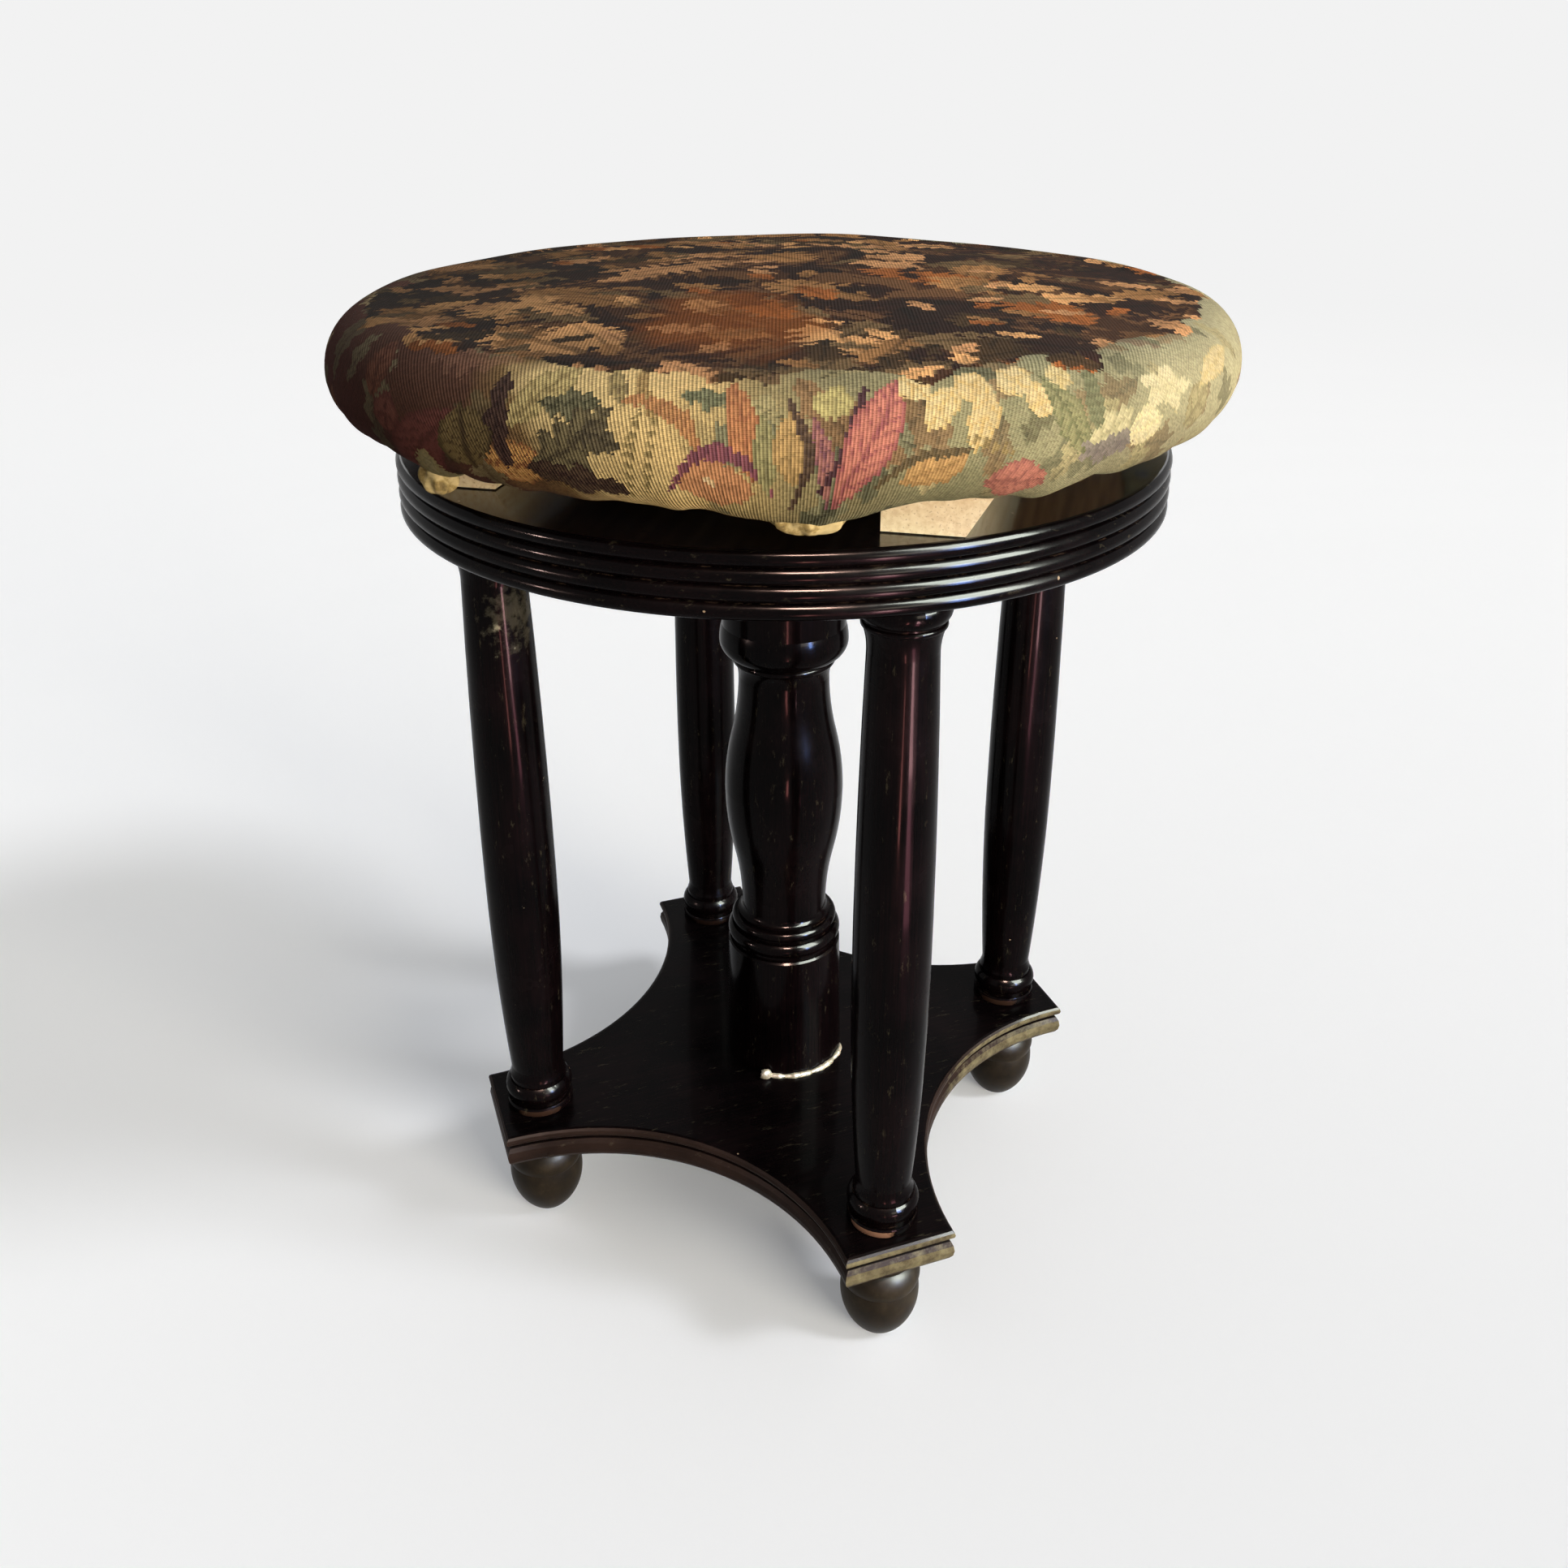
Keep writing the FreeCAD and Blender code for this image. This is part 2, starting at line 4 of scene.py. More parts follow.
import bpy
import numpy as np
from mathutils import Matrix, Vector


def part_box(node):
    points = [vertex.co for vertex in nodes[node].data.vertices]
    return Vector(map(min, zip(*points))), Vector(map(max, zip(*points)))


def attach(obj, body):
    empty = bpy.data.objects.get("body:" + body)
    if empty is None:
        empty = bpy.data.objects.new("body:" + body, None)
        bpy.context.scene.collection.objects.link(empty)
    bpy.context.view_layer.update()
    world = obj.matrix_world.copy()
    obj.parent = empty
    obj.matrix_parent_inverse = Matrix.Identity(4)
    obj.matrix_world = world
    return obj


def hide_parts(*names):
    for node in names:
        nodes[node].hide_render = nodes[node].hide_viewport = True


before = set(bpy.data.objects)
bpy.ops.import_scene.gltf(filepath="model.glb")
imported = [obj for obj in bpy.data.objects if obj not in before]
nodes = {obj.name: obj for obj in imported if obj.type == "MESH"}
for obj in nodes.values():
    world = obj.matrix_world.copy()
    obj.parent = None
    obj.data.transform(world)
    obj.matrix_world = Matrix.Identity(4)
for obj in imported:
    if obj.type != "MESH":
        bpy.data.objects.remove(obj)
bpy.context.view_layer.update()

mm = 0.001
up = Vector((0, 0, 1))

# The photograph's camera, and which way it stands round the stool
cameraPlan = {
    "azimuth": -19.96,       # degrees; the front column stands this far to its right
    "distance": 625.1 * mm,  # from the screw's axis, along the floor
    "height": 562.6 * mm,
    "tilt": 24.66,           # degrees down
    "sensor": 36,
    "lens": 32.785,
    "shiftY": -0.060,        # the photograph was cropped, so its optical axis stands above the middle
    "clip": (0.02, 60),
}
viewTurn = math.radians(cameraPlan["azimuth"])
viewFront = Vector((math.sin(viewTurn), -math.cos(viewTurn), 0))  # from the axis towards the camera
viewRight = Vector((math.cos(viewTurn), math.sin(viewTurn), 0))


# The way out from the axis at an angle in degrees round from the camera, to its right
def outAt(angle):
    return viewFront * math.cos(math.radians(angle)) + viewRight * math.sin(math.radians(angle))


def linear(hexColour):
    values = [int(hexColour[i:i + 2], 16) / 255 for i in (1, 3, 5)]
    return tuple(v / 12.92 if v <= 0.04045 else ((v + 0.055) / 1.055) ** 2.4 for v in values) + (1.0,)


# The one setting that each of these kinds of node is given
mainSetting = {
    "Math": "operation", "VectorMath": "operation", "Mix": "data_type", "MapRange": "interpolation_type",
    "TexNoise": "noise_dimensions", "TexWhiteNoise": "noise_dimensions", "TexVoronoi": "voronoi_dimensions",
    "TexWave": "bands_direction", "VectorRotate": "rotation_type", "UVMap": "uv_map", "Bevel": "samples"}


# Adds one node. Its inputs come last, by name or in the order shown, as numbers, hex colours, nodes or
# sockets. Its main setting, or a ramp's stops, may come before them.
def addNode(tree, kind, *given):
    *setting, inputs = given or ((),)
    made = tree.nodes.new("ShaderNode" + kind)
    if setting and kind == "ValToRGB":
        ramp = made.color_ramp
        while len(ramp.elements) < len(setting[0]):
            ramp.elements.new(1.0)
        for element, (place, colour) in zip(ramp.elements, setting[0]):
            element.position = place
            element.color = linear(colour)
    elif setting:
        setattr(made, mainSetting[kind], setting[0])
    shown = [socket for socket in made.inputs if socket.enabled]
    if isinstance(inputs, dict):
        shown = [next(socket for socket in shown if socket.name == name) for name in inputs]
        inputs = inputs.values()
    for socket, value in zip(shown, inputs):
        if isinstance(value, str):
            value = linear(value)
        if isinstance(value, bpy.types.Node):
            value = next(output for output in value.outputs if output.enabled)
        if isinstance(value, bpy.types.NodeSocket):
            tree.links.new(value, socket)
        else:
            socket.default_value = value
    return made


# Clears a material's or world's nodes down to its output, and gives the function that adds to them
def freshNodes(owner, outputKind):
    owner.use_nodes = True
    tree = owner.node_tree
    tree.nodes.clear()
    tree.nodes.new(outputKind)
    return partial(addNode, tree)


def newMaterial(name):
    material = bpy.data.materials.new(name)
    return material, freshNodes(material, "ShaderNodeOutputMaterial")


# Joins the last shader to the output, which was the first node
def finished(owner, shader):
    tree = owner.node_tree
    tree.links.new(shader.outputs[0], tree.nodes[0].inputs["Surface"])
    return owner


def dress(material, *names):
    for name in names:
        mesh = nodes[name].data
        mesh.materials.clear()
        mesh.materials.append(material)


def placed(name, data):
    thing = bpy.data.objects.new(name, data)
    bpy.context.scene.collection.objects.link(thing)
    return thing


def meshPiece(name, points, faces, material, body):
    mesh = bpy.data.meshes.new(name)
    mesh.from_pydata([tuple(p) for p in points], [], faces)
    mesh.validate()
    mesh.polygons.foreach_set("use_smooth", [True] * len(mesh.polygons))
    mesh.materials.append(material)
    piece = placed(name, mesh)
    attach(piece, body)
    return piece


# Faces that join each ring of points to the next, then close the first ring and the last. The points from
# start on are the rings; flip turns every face over.
def skinFaces(rings, columns, start=0, flip=False):
    faces = []
    for low in range(start, start + (rings - 1) * columns, columns):
        for i in range(columns):
            n = (i + 1) % columns
            faces.append((low + i, low + n, low + columns + n, low + columns + i))
    faces.append(tuple(start + i for i in reversed(range(columns))))
    faces.append(tuple(start + (rings - 1) * columns + i for i in range(columns)))
    return [face[::-1] for face in faces] if flip else faces


# Ebonised beech: black aniline stain that lets a red-brown ground through, under French polish.
# The eye sees near black with an aubergine cast, faint lengthwise grain, small pale nicks, dull smears
# where hands and shoes have rubbed, and bare brown or dusty grey along the worn arrises. The dusty grey on
# mouldings that face the key lamp is also a painted highlight.
ebonised = {
    "stain": "#040304",
    "undertone": "#0f0709",
    "bareWood": "#6b5648",
    "chip": "#a18d78",
    "shoeRubbed": "#8d6a58",
    "stainWornThin": "#4a3933",
    "plasterDust": "#c2bda8",
    "scuff": "#8f8872",
    # pale dust and wax, which also stands for a painted highlight on the mouldings facing the key lamp
    "dust": "#817b62",
    "grainWidth": 0.7 * mm,
    "grainLength": 45 * mm,
    "smearSize": 38 * mm,
    "nickSpacing": 17 * mm,
    "nickSize": 0.55 * mm,
    "nickEdge": mm / 0.9,        # grain of the nicks' ragged edges
    "arris": 1.1 * mm,
    "arrisPatch": 9 * mm,
    "crescent": (15.0 * mm, 16.6 * mm),   # from the column's axis to where shoe marks begin, and are full
    "crescentEdge": mm / 0.42,   # grain of its ragged edge, and how far that strays
    "crescentStray": 5 * mm,
    "plasterGrain": 4.5 * mm,
    "scuffWidth": 3.2 * mm,
    "scuffLength": 11 * mm,
    "dustPatch": 7 * mm,
    "dustAndLightSide": 20 * mm,        # right of the axis, where the dust and painted highlight are full
    "waviness": 26 * mm,
    "polish": 0.032,             # weight of the coat
    "shelteredPolish": 0.9,
}


# A pattern's scale along each axis, from its length along the grain and its width across
def grainScale(along, length, width):
    return [1 / length if axis == along else 1 / width for axis in "xyz"]


def ebonisedBeech(name, along, gloss, arrisWear, seed, footWear=None, mirrorAbove=None, dustAndLightFrom=None,
                  sideWear=0.0, smudges=(), coatRough=0.07):
    plan = ebonised
    material, add = newMaterial("ebonisedBeechPolished_" + name)
    place = add("TexCoord").outputs["Object"]
    moved = add("VectorMath", "ADD", (place, (seed, seed * 0.7, seed * 0.3)))
    stretch = grainScale(along, plan["grainLength"], plan["grainWidth"])
    grainSpace = add("VectorMath", "MULTIPLY", (moved, stretch))
    grain = add("TexNoise", {"Vector": grainSpace, "Scale": 1.0, "Detail": 3.0})
    smear = add("TexNoise", {
        "Vector": moved, "Scale": 1 / plan["smearSize"], "Detail": 4.0, "Roughness": 0.62})
    tint = add("Math", "MULTIPLY", (grain, smear))
    tint = add("MapRange", (tint, 0.16, 0.42))
    stain = add("Mix", "RGBA", (tint, plan["stain"], plan["undertone"]))

    # nicks: a few small pale chips through the polish
    chips = add("TexVoronoi", {"Vector": moved, "Scale": 1 / plan["nickSpacing"], "Randomness": 1.0})
    largest = plan["nickSize"] / plan["nickSpacing"] * 1.6
    chipSize = add("MapRange", (chips.outputs["Color"], 0.55, 1.0, 0.0, largest))
    ragged = add("TexNoise", {"Vector": moved, "Scale": 1 / plan["nickEdge"], "Detail": 2.0})
    reach = add("Math", "MULTIPLY", (chipSize, ragged))
    reach = add("Math", "MULTIPLY", (reach, 2.0))
    nick = add("Math", "LESS_THAN", (chips.outputs["Distance"], reach))

    # worn arrises: where a rounded normal leaves the true one, broken up by the smears
    rounded = add("Bevel", 4, {"Radius": plan["arris"]})
    facing = add("NewGeometry").outputs["Normal"]
    turn = add("VectorMath", "DOT_PRODUCT", (rounded, facing))
    edge = add("MapRange", (turn.outputs["Value"], 0.97, 0.80))
    patchy = add("TexNoise", {
        "Vector": moved, "Scale": 1 / plan["arrisPatch"], "Detail": 5.0, "Roughness": 0.7})
    patchy = add("MapRange", (patchy, 0.62 - 0.22 * arrisWear, 0.66, 0.0, arrisWear))
    edge = add("Math", "MULTIPLY", (edge, patchy))
    colour = add("Mix", "RGBA", (edge, stain, plan["bareWood"]))
    colour = add("Mix", "RGBA", (nick, colour, plan["chip"]))
    worn = add("Math", "MAXIMUM", (edge, nick))

    # one more layer of wear: its colour over the rest, and how dull it leaves the polish
    def layered(mask, paint):
        return add("Mix", "RGBA", (mask, colour, paint)), add("Math", "MAXIMUM", (worn, mask))

    if footWear:
        # a pale crescent rubbed bare on the foot disc, on the side that shoes meet
        centre, aim, lowest, highest, strength = footWear
        offset = add("VectorMath", "SUBTRACT", (place, centre))
        toward = add("VectorMath", "DOT_PRODUCT", (offset, aim))
        ragged = add("TexNoise", {"Vector": moved, "Scale": 1 / plan["crescentEdge"], "Detail": 3.0})
        toward = add("Math", "MULTIPLY_ADD", (ragged, plan["crescentStray"], toward.outputs["Value"]))
        rubbed = add("MapRange", (toward, *plan["crescent"], 0.0, strength))
        height = add("SeparateXYZ", (place,)).outputs["Z"]
        above = add("Math", "GREATER_THAN", (height, lowest))
        below = add("Math", "LESS_THAN", (height, highest))
        band = add("Math", "MULTIPLY", (above, below))
        rubbed = add("Math", "MULTIPLY", (rubbed, band))
        colour, worn = layered(rubbed, plan["shoeRubbed"])

    if sideWear:
        # edges that feet have brushed: the stain worn thin over brown wood
        upright = add("SeparateXYZ", (facing,)).outputs["Z"]
        upright = add("Math", "ABSOLUTE", (upright,))
        thin = add("MapRange", (upright, 0.95, 0.6, 0.0, sideWear))
        thin = add("Math", "MULTIPLY", (thin, smear))
        colour, worn = layered(thin, plan["stainWornThin"])

    for centre, size, strength in smudges:
        # pale plaster dust rubbed into the polish
        offset = add("VectorMath", "DISTANCE", (place, centre))
        specks = add("TexNoise", {
            "Vector": place, "Scale": 1 / plan["plasterGrain"], "Detail": 6.0, "Roughness": 0.65})
        within = add("MapRange", (offset.outputs["Value"], size, size * 0.2, 0.0, 0.36))
        rubbed = add("Math", "ADD", (specks, within))
        rubbed = add("MapRange", (rubbed, 0.70, 0.86, 0.0, strength))
        colour, worn = layered(rubbed, plan["plasterDust"])

    # scuffs: faint dry smears and specks of dust, most of them lengthwise
    stretch = grainScale(along, plan["scuffLength"], plan["scuffWidth"])
    streaky = add("VectorMath", "MULTIPLY", (moved, stretch))
    scuff = add("TexNoise", {"Vector": streaky, "Scale": 1.0, "Detail": 7.0, "Roughness": 0.75})
    scuff = add("MapRange", (scuff, 0.60, 0.74, 0.0, 0.16))
    colour, worn = layered(scuff, plan["scuff"])

    if dustAndLightFrom:
        # dust and wax in the mouldings, and a painted highlight: paler on the faces turned towards the key
        # lamp, on its side of the axis
        faced = add("VectorMath", "DOT_PRODUCT", (facing, dustAndLightFrom))
        dustAndHighlight = add("TexNoise", {
            "Vector": moved, "Scale": 1 / plan["dustPatch"], "Detail": 6.0, "Roughness": 0.7})
        dustAndHighlight = add("Math", "MULTIPLY_ADD", (dustAndHighlight, 0.7, faced.outputs["Value"]))
        dustAndHighlight = add("MapRange", (dustAndHighlight, 1.15, 1.4, 0.0, 0.9))
        onSide = add("VectorMath", "DOT_PRODUCT", (place, tuple(viewRight)))
        onSide = add("MapRange", (onSide.outputs["Value"], 0.0, plan["dustAndLightSide"]))
        dustAndHighlight = add("Math", "MULTIPLY", (dustAndHighlight, onSide))
        colour, worn = layered(dustAndHighlight, plan["dust"])

    dull = add("MapRange", (smear, 0.35, 0.75, gloss, gloss + 0.2))
    rough = add("Math", "MULTIPLY_ADD", (worn, 0.4, dull))
    polish = plan["polish"]
    if mirrorAbove:
        # the face that the seat shelters has kept a full polish
        height = add("SeparateXYZ", (place,)).outputs["Z"]
        sheltered = add("Math", "GREATER_THAN", (height, mirrorAbove))
        polish = add("MapRange", (sheltered, 0.0, 1.0, polish, plan["shelteredPolish"]))
    relief = add("Bump", {"Strength": 0.12, "Distance": 0.05 * mm, "Height": grain})
    wavy = add("TexNoise", {"Vector": moved, "Scale": 1 / plan["waviness"], "Detail": 2.0})
    relief = add("Bump", {"Strength": 0.25, "Distance": 0.5 * mm, "Height": wavy, "Normal": relief})
    shader = add("BsdfPrincipled", {
        "Base Color": colour, "Roughness": rough, "IOR": 1.5, "Specular IOR Level": 0.02,
        "Coat Weight": polish, "Coat Roughness": coatRough, "Coat IOR": 1.5, "Normal": relief})
    return finished(material, shader)


# The feet kept little polish: the same stain, dull and dusty with age
dullStain = {
    "tones": [(0.3, "#120e09"), (0.55, "#241d13"), (0.75, "#383023")],
    "dustPatch": 16 * mm,
    "pores": 1.3 * mm,
    "roughness": (0.32, 0.5),
}


def dullFeet():
    plan = dullStain
    material, add = newMaterial("ebonisedBeechRubbedDull")
    place = add("TexCoord").outputs["Object"]
    dust = add("TexNoise", {
        "Vector": place, "Scale": 1 / plan["dustPatch"], "Detail": 5.0, "Roughness": 0.65})
    colour = add("ValToRGB", plan["tones"], (dust,))
    fine = add("TexNoise", {"Vector": place, "Scale": 1 / plan["pores"], "Detail": 3.0})
    rough = add("MapRange", (dust, 0.3, 0.7, *plan["roughness"]))
    relief = add("Bump", {"Strength": 0.2, "Distance": 0.12 * mm, "Height": fine})
    shader = add("BsdfPrincipled", {
        "Base Color": colour, "Roughness": rough, "IOR": 1.5, "Specular IOR Level": 0.06, "Coat Weight": 0.02,
        "Coat Roughness": 0.3, "Normal": relief})
    return finished(material, shader)


# Bare wood, sawn and never finished: pale straw beech for the cleats and orange-brown pine for the board,
# both with short darker flecks and slightly furry sawn faces
bareWood = {
    "bareSawnBeech": {"tones": [(0.3, "#d3b98a"), (0.5, "#e2cda0"), (0.7, "#ecdab2")], "fleck": "#8f6a42"},
    "barePineBoard": {"tones": [(0.3, "#8b6238"), (0.5, "#a87b4a"), (0.7, "#bd9360")], "fleck": "#5e3f22"},
    "turn": -33.0,       # degrees; the grain of both runs with the cleats
    "grain": (2.6 * mm, 60 * mm, 2.2 * mm),
    "flecks": (0.9 * mm, 5 * mm, 0.9 * mm),
    "sawMarks": 6.5 * mm,
}


def bareSawn(name):
    plan = bareWood
    material, add = newMaterial(name)
    place = add("TexCoord").outputs["Object"]
    turned = add("VectorRotate", "Z_AXIS", {"Vector": place, "Angle": -math.radians(plan["turn"])})
    grainSpace = add("VectorMath", "MULTIPLY", (turned, [1 / size for size in plan["grain"]]))
    grain = add("TexNoise", {"Vector": grainSpace, "Scale": 1.0, "Detail": 4.0, "Distortion": 0.4})
    colour = add("ValToRGB", plan[name]["tones"], (grain,))
    fleckSpace = add("VectorMath", "MULTIPLY", (turned, [1 / size for size in plan["flecks"]]))
    fleck = add("TexNoise", {"Vector": fleckSpace, "Scale": 1.0, "Detail": 1.0})
    fleck = add("MapRange", (fleck, 0.62, 0.72, 0.0, 0.5))
    colour = add("Mix", "RGBA", (fleck, colour, plan[name]["fleck"]))
    saw = add("TexWave", "Y", {
        "Vector": turned, "Scale": 1 / plan["sawMarks"], "Distortion": 1.5, "Detail": 2.0})
    relief = add("Bump", {"Strength": 0.3, "Distance": 0.15 * mm, "Height": grain})
    relief = add("Bump", {"Strength": 0.18, "Distance": 0.1 * mm, "Height": saw, "Normal": relief})
    shader = add("BsdfPrincipled", {"Base Color": colour, "Roughness": 0.72, "IOR": 1.5, "Normal": relief})
    return finished(material, shader)


# Small ironwork, cast and japanned, or turned and drawn steel under old grease: its dark and light tone, how
# metallic and how rough it is, and the size of its mottling
metals = {
    "castIronJapanned": ("#0c0b0a", "#1d1a17", 0.3, 0.42, 4 * mm),
    "turnedSteelGreased": ("#4a4743", "#8a8681", 1.0, 0.28, 6 * mm),
    "drawnSteelDull": ("#55504a", "#86807a", 1.0, 0.36, 3 * mm),
    "bluedSteelTacks": ("#14161c", "#2c3038", 0.9, 0.35, 2 * mm),
}


def ironwork(name):
    dark, light, metallic, rough, size = metals[name]
    material, add = newMaterial(name)
    place = add("TexCoord").outputs["Object"]
    mottle = add("TexNoise", {"Vector": place, "Scale": 1 / size, "Detail": 5.0, "Roughness": 0.6})
    colour = add("ValToRGB", [(0.35, dark), (0.7, light)], (mottle,))
    roughness = add("MapRange", (mottle, 0.3, 0.7, rough, rough + 0.18))
    relief = add("Bump", {"Strength": 0.3, "Distance": 0.1 * mm, "Height": mottle})
    shader = add("BsdfPrincipled", {
        "Base Color": colour, "Metallic": metallic, "Roughness": roughness, "Normal": relief})
    return finished(material, shader)


# Machine-woven verdure tapestry, cotton and wool: a ribbed face whose colours change a thread at a time, so
# every edge is toothed. The middle is dark undergrowth, and the border a cream and sage ground with leaves.
# The pattern is drawn on the flat cloth, in millimetres, u to the camera's right and v away from it.
tapestry = {
    "rib": 1.3,
    "pick": 0.6,
    "tooth": 1.4,             # how far a colour runs along one thread past its neighbours
    "wander": 3.2,            # how far the threads stray from the drawing,
    "wanderSize": 30,         # in waves of this size
    "threadShade": (0.79, 1.2),
    "grime": (0.84, 1.06),
    "grimeSize": 60,
    # the dark middle
    "patchSize": 46,
    "darkGround": [(0.0, "#120806"), (0.36, "#20110d"), (0.44, "#3b261b"), (0.52, "#5c422f"),
                   (0.60, "#2b1812"), (0.68, "#6f503a")],
    "darkLeaves": [(0.0, "#1f0f0c"), (0.14, "#94704f"), (0.3, "#3c2d1e"), (0.42, "#c09470"),
                   (0.56, "#26140f"), (0.68, "#6a5740"), (0.8, "#d6a87c"), (0.92, "#96603f")],
    # strewn leaves: pitch, half length, half width, lobes, seed and share of the places taken
    "darkLayers": [(52, 31, 19, 9, 13.0, 0.9), (38, 25, 12, 7, 91.0, 0.75), (27, 17, 9, 5, 47.0, 0.6),
                   (17, 10, 5, 3, 71.0, 0.45)],
    "rustPatch": {"at": (-22, -100, 0), "size": (34, 58, 1), "colour": "#8a5432"},
    # painted shade: the dark middle runs darker to the left and lighter to the right, as the light falls
    "paintedShadeRun": (-170.0, 70.0, 0.28, 1.32),   # from this u to that, and how bright at each
    "paintedShadeSaturation": 1.1,
    # the border
    "borderStart": 192.0,     # from the middle, less the sway times a noise
    "borderSway": 40.0,
    "swaySize": 34,
    "toneRun": (1 / 440, 0.43),   # how the ground's tone grows with u, and the tone at the middle
    "toneSway": 0.14,
    "paleGround": [(0.0, "#42201f"), (0.12, "#3c231f"), (0.25, "#4e352a"), (0.31, "#78603f"),
                   (0.34, "#c6b080"), (0.43, "#c4aa78"), (0.47, "#96865f"), (0.56, "#868062"),
                   (0.66, "#898769"), (0.76, "#939074"), (0.88, "#a5a083"), (1.0, "#b0aa88")],
    "paleLeaves": [(0.0, "#5c5a42"), (0.17, "#7c7a60"), (0.34, "#7d6448"), (0.5, "#a0966f"),
                   (0.64, "#61614c"), (0.78, "#b4a880"), (0.9, "#7f5c4c")],
    "paleLayers": [(34, 21, 10, 5, 5.0, 0.6), (22, 13, 6, 3, 63.0, 0.55)],
    # tones over which the ground turns plain, leafy again and calmer, and how far each goes
    "turnsPlain": (0.31, 0.33, 0.6, 1.0),
    "turnsLeafy": (0.43, 0.46, 0.0, 1.0),
    "turnsCalm": (0.60, 0.68, 0.0, 0.4),
    # the motifs
    "motifScale": 1.28,
    "petalDepth": 0.2,
    "lobeDepth": 0.26,
    "rungs": 3.6,
    "veins": {"leaf": 6.5, "scale": 3.0},
}
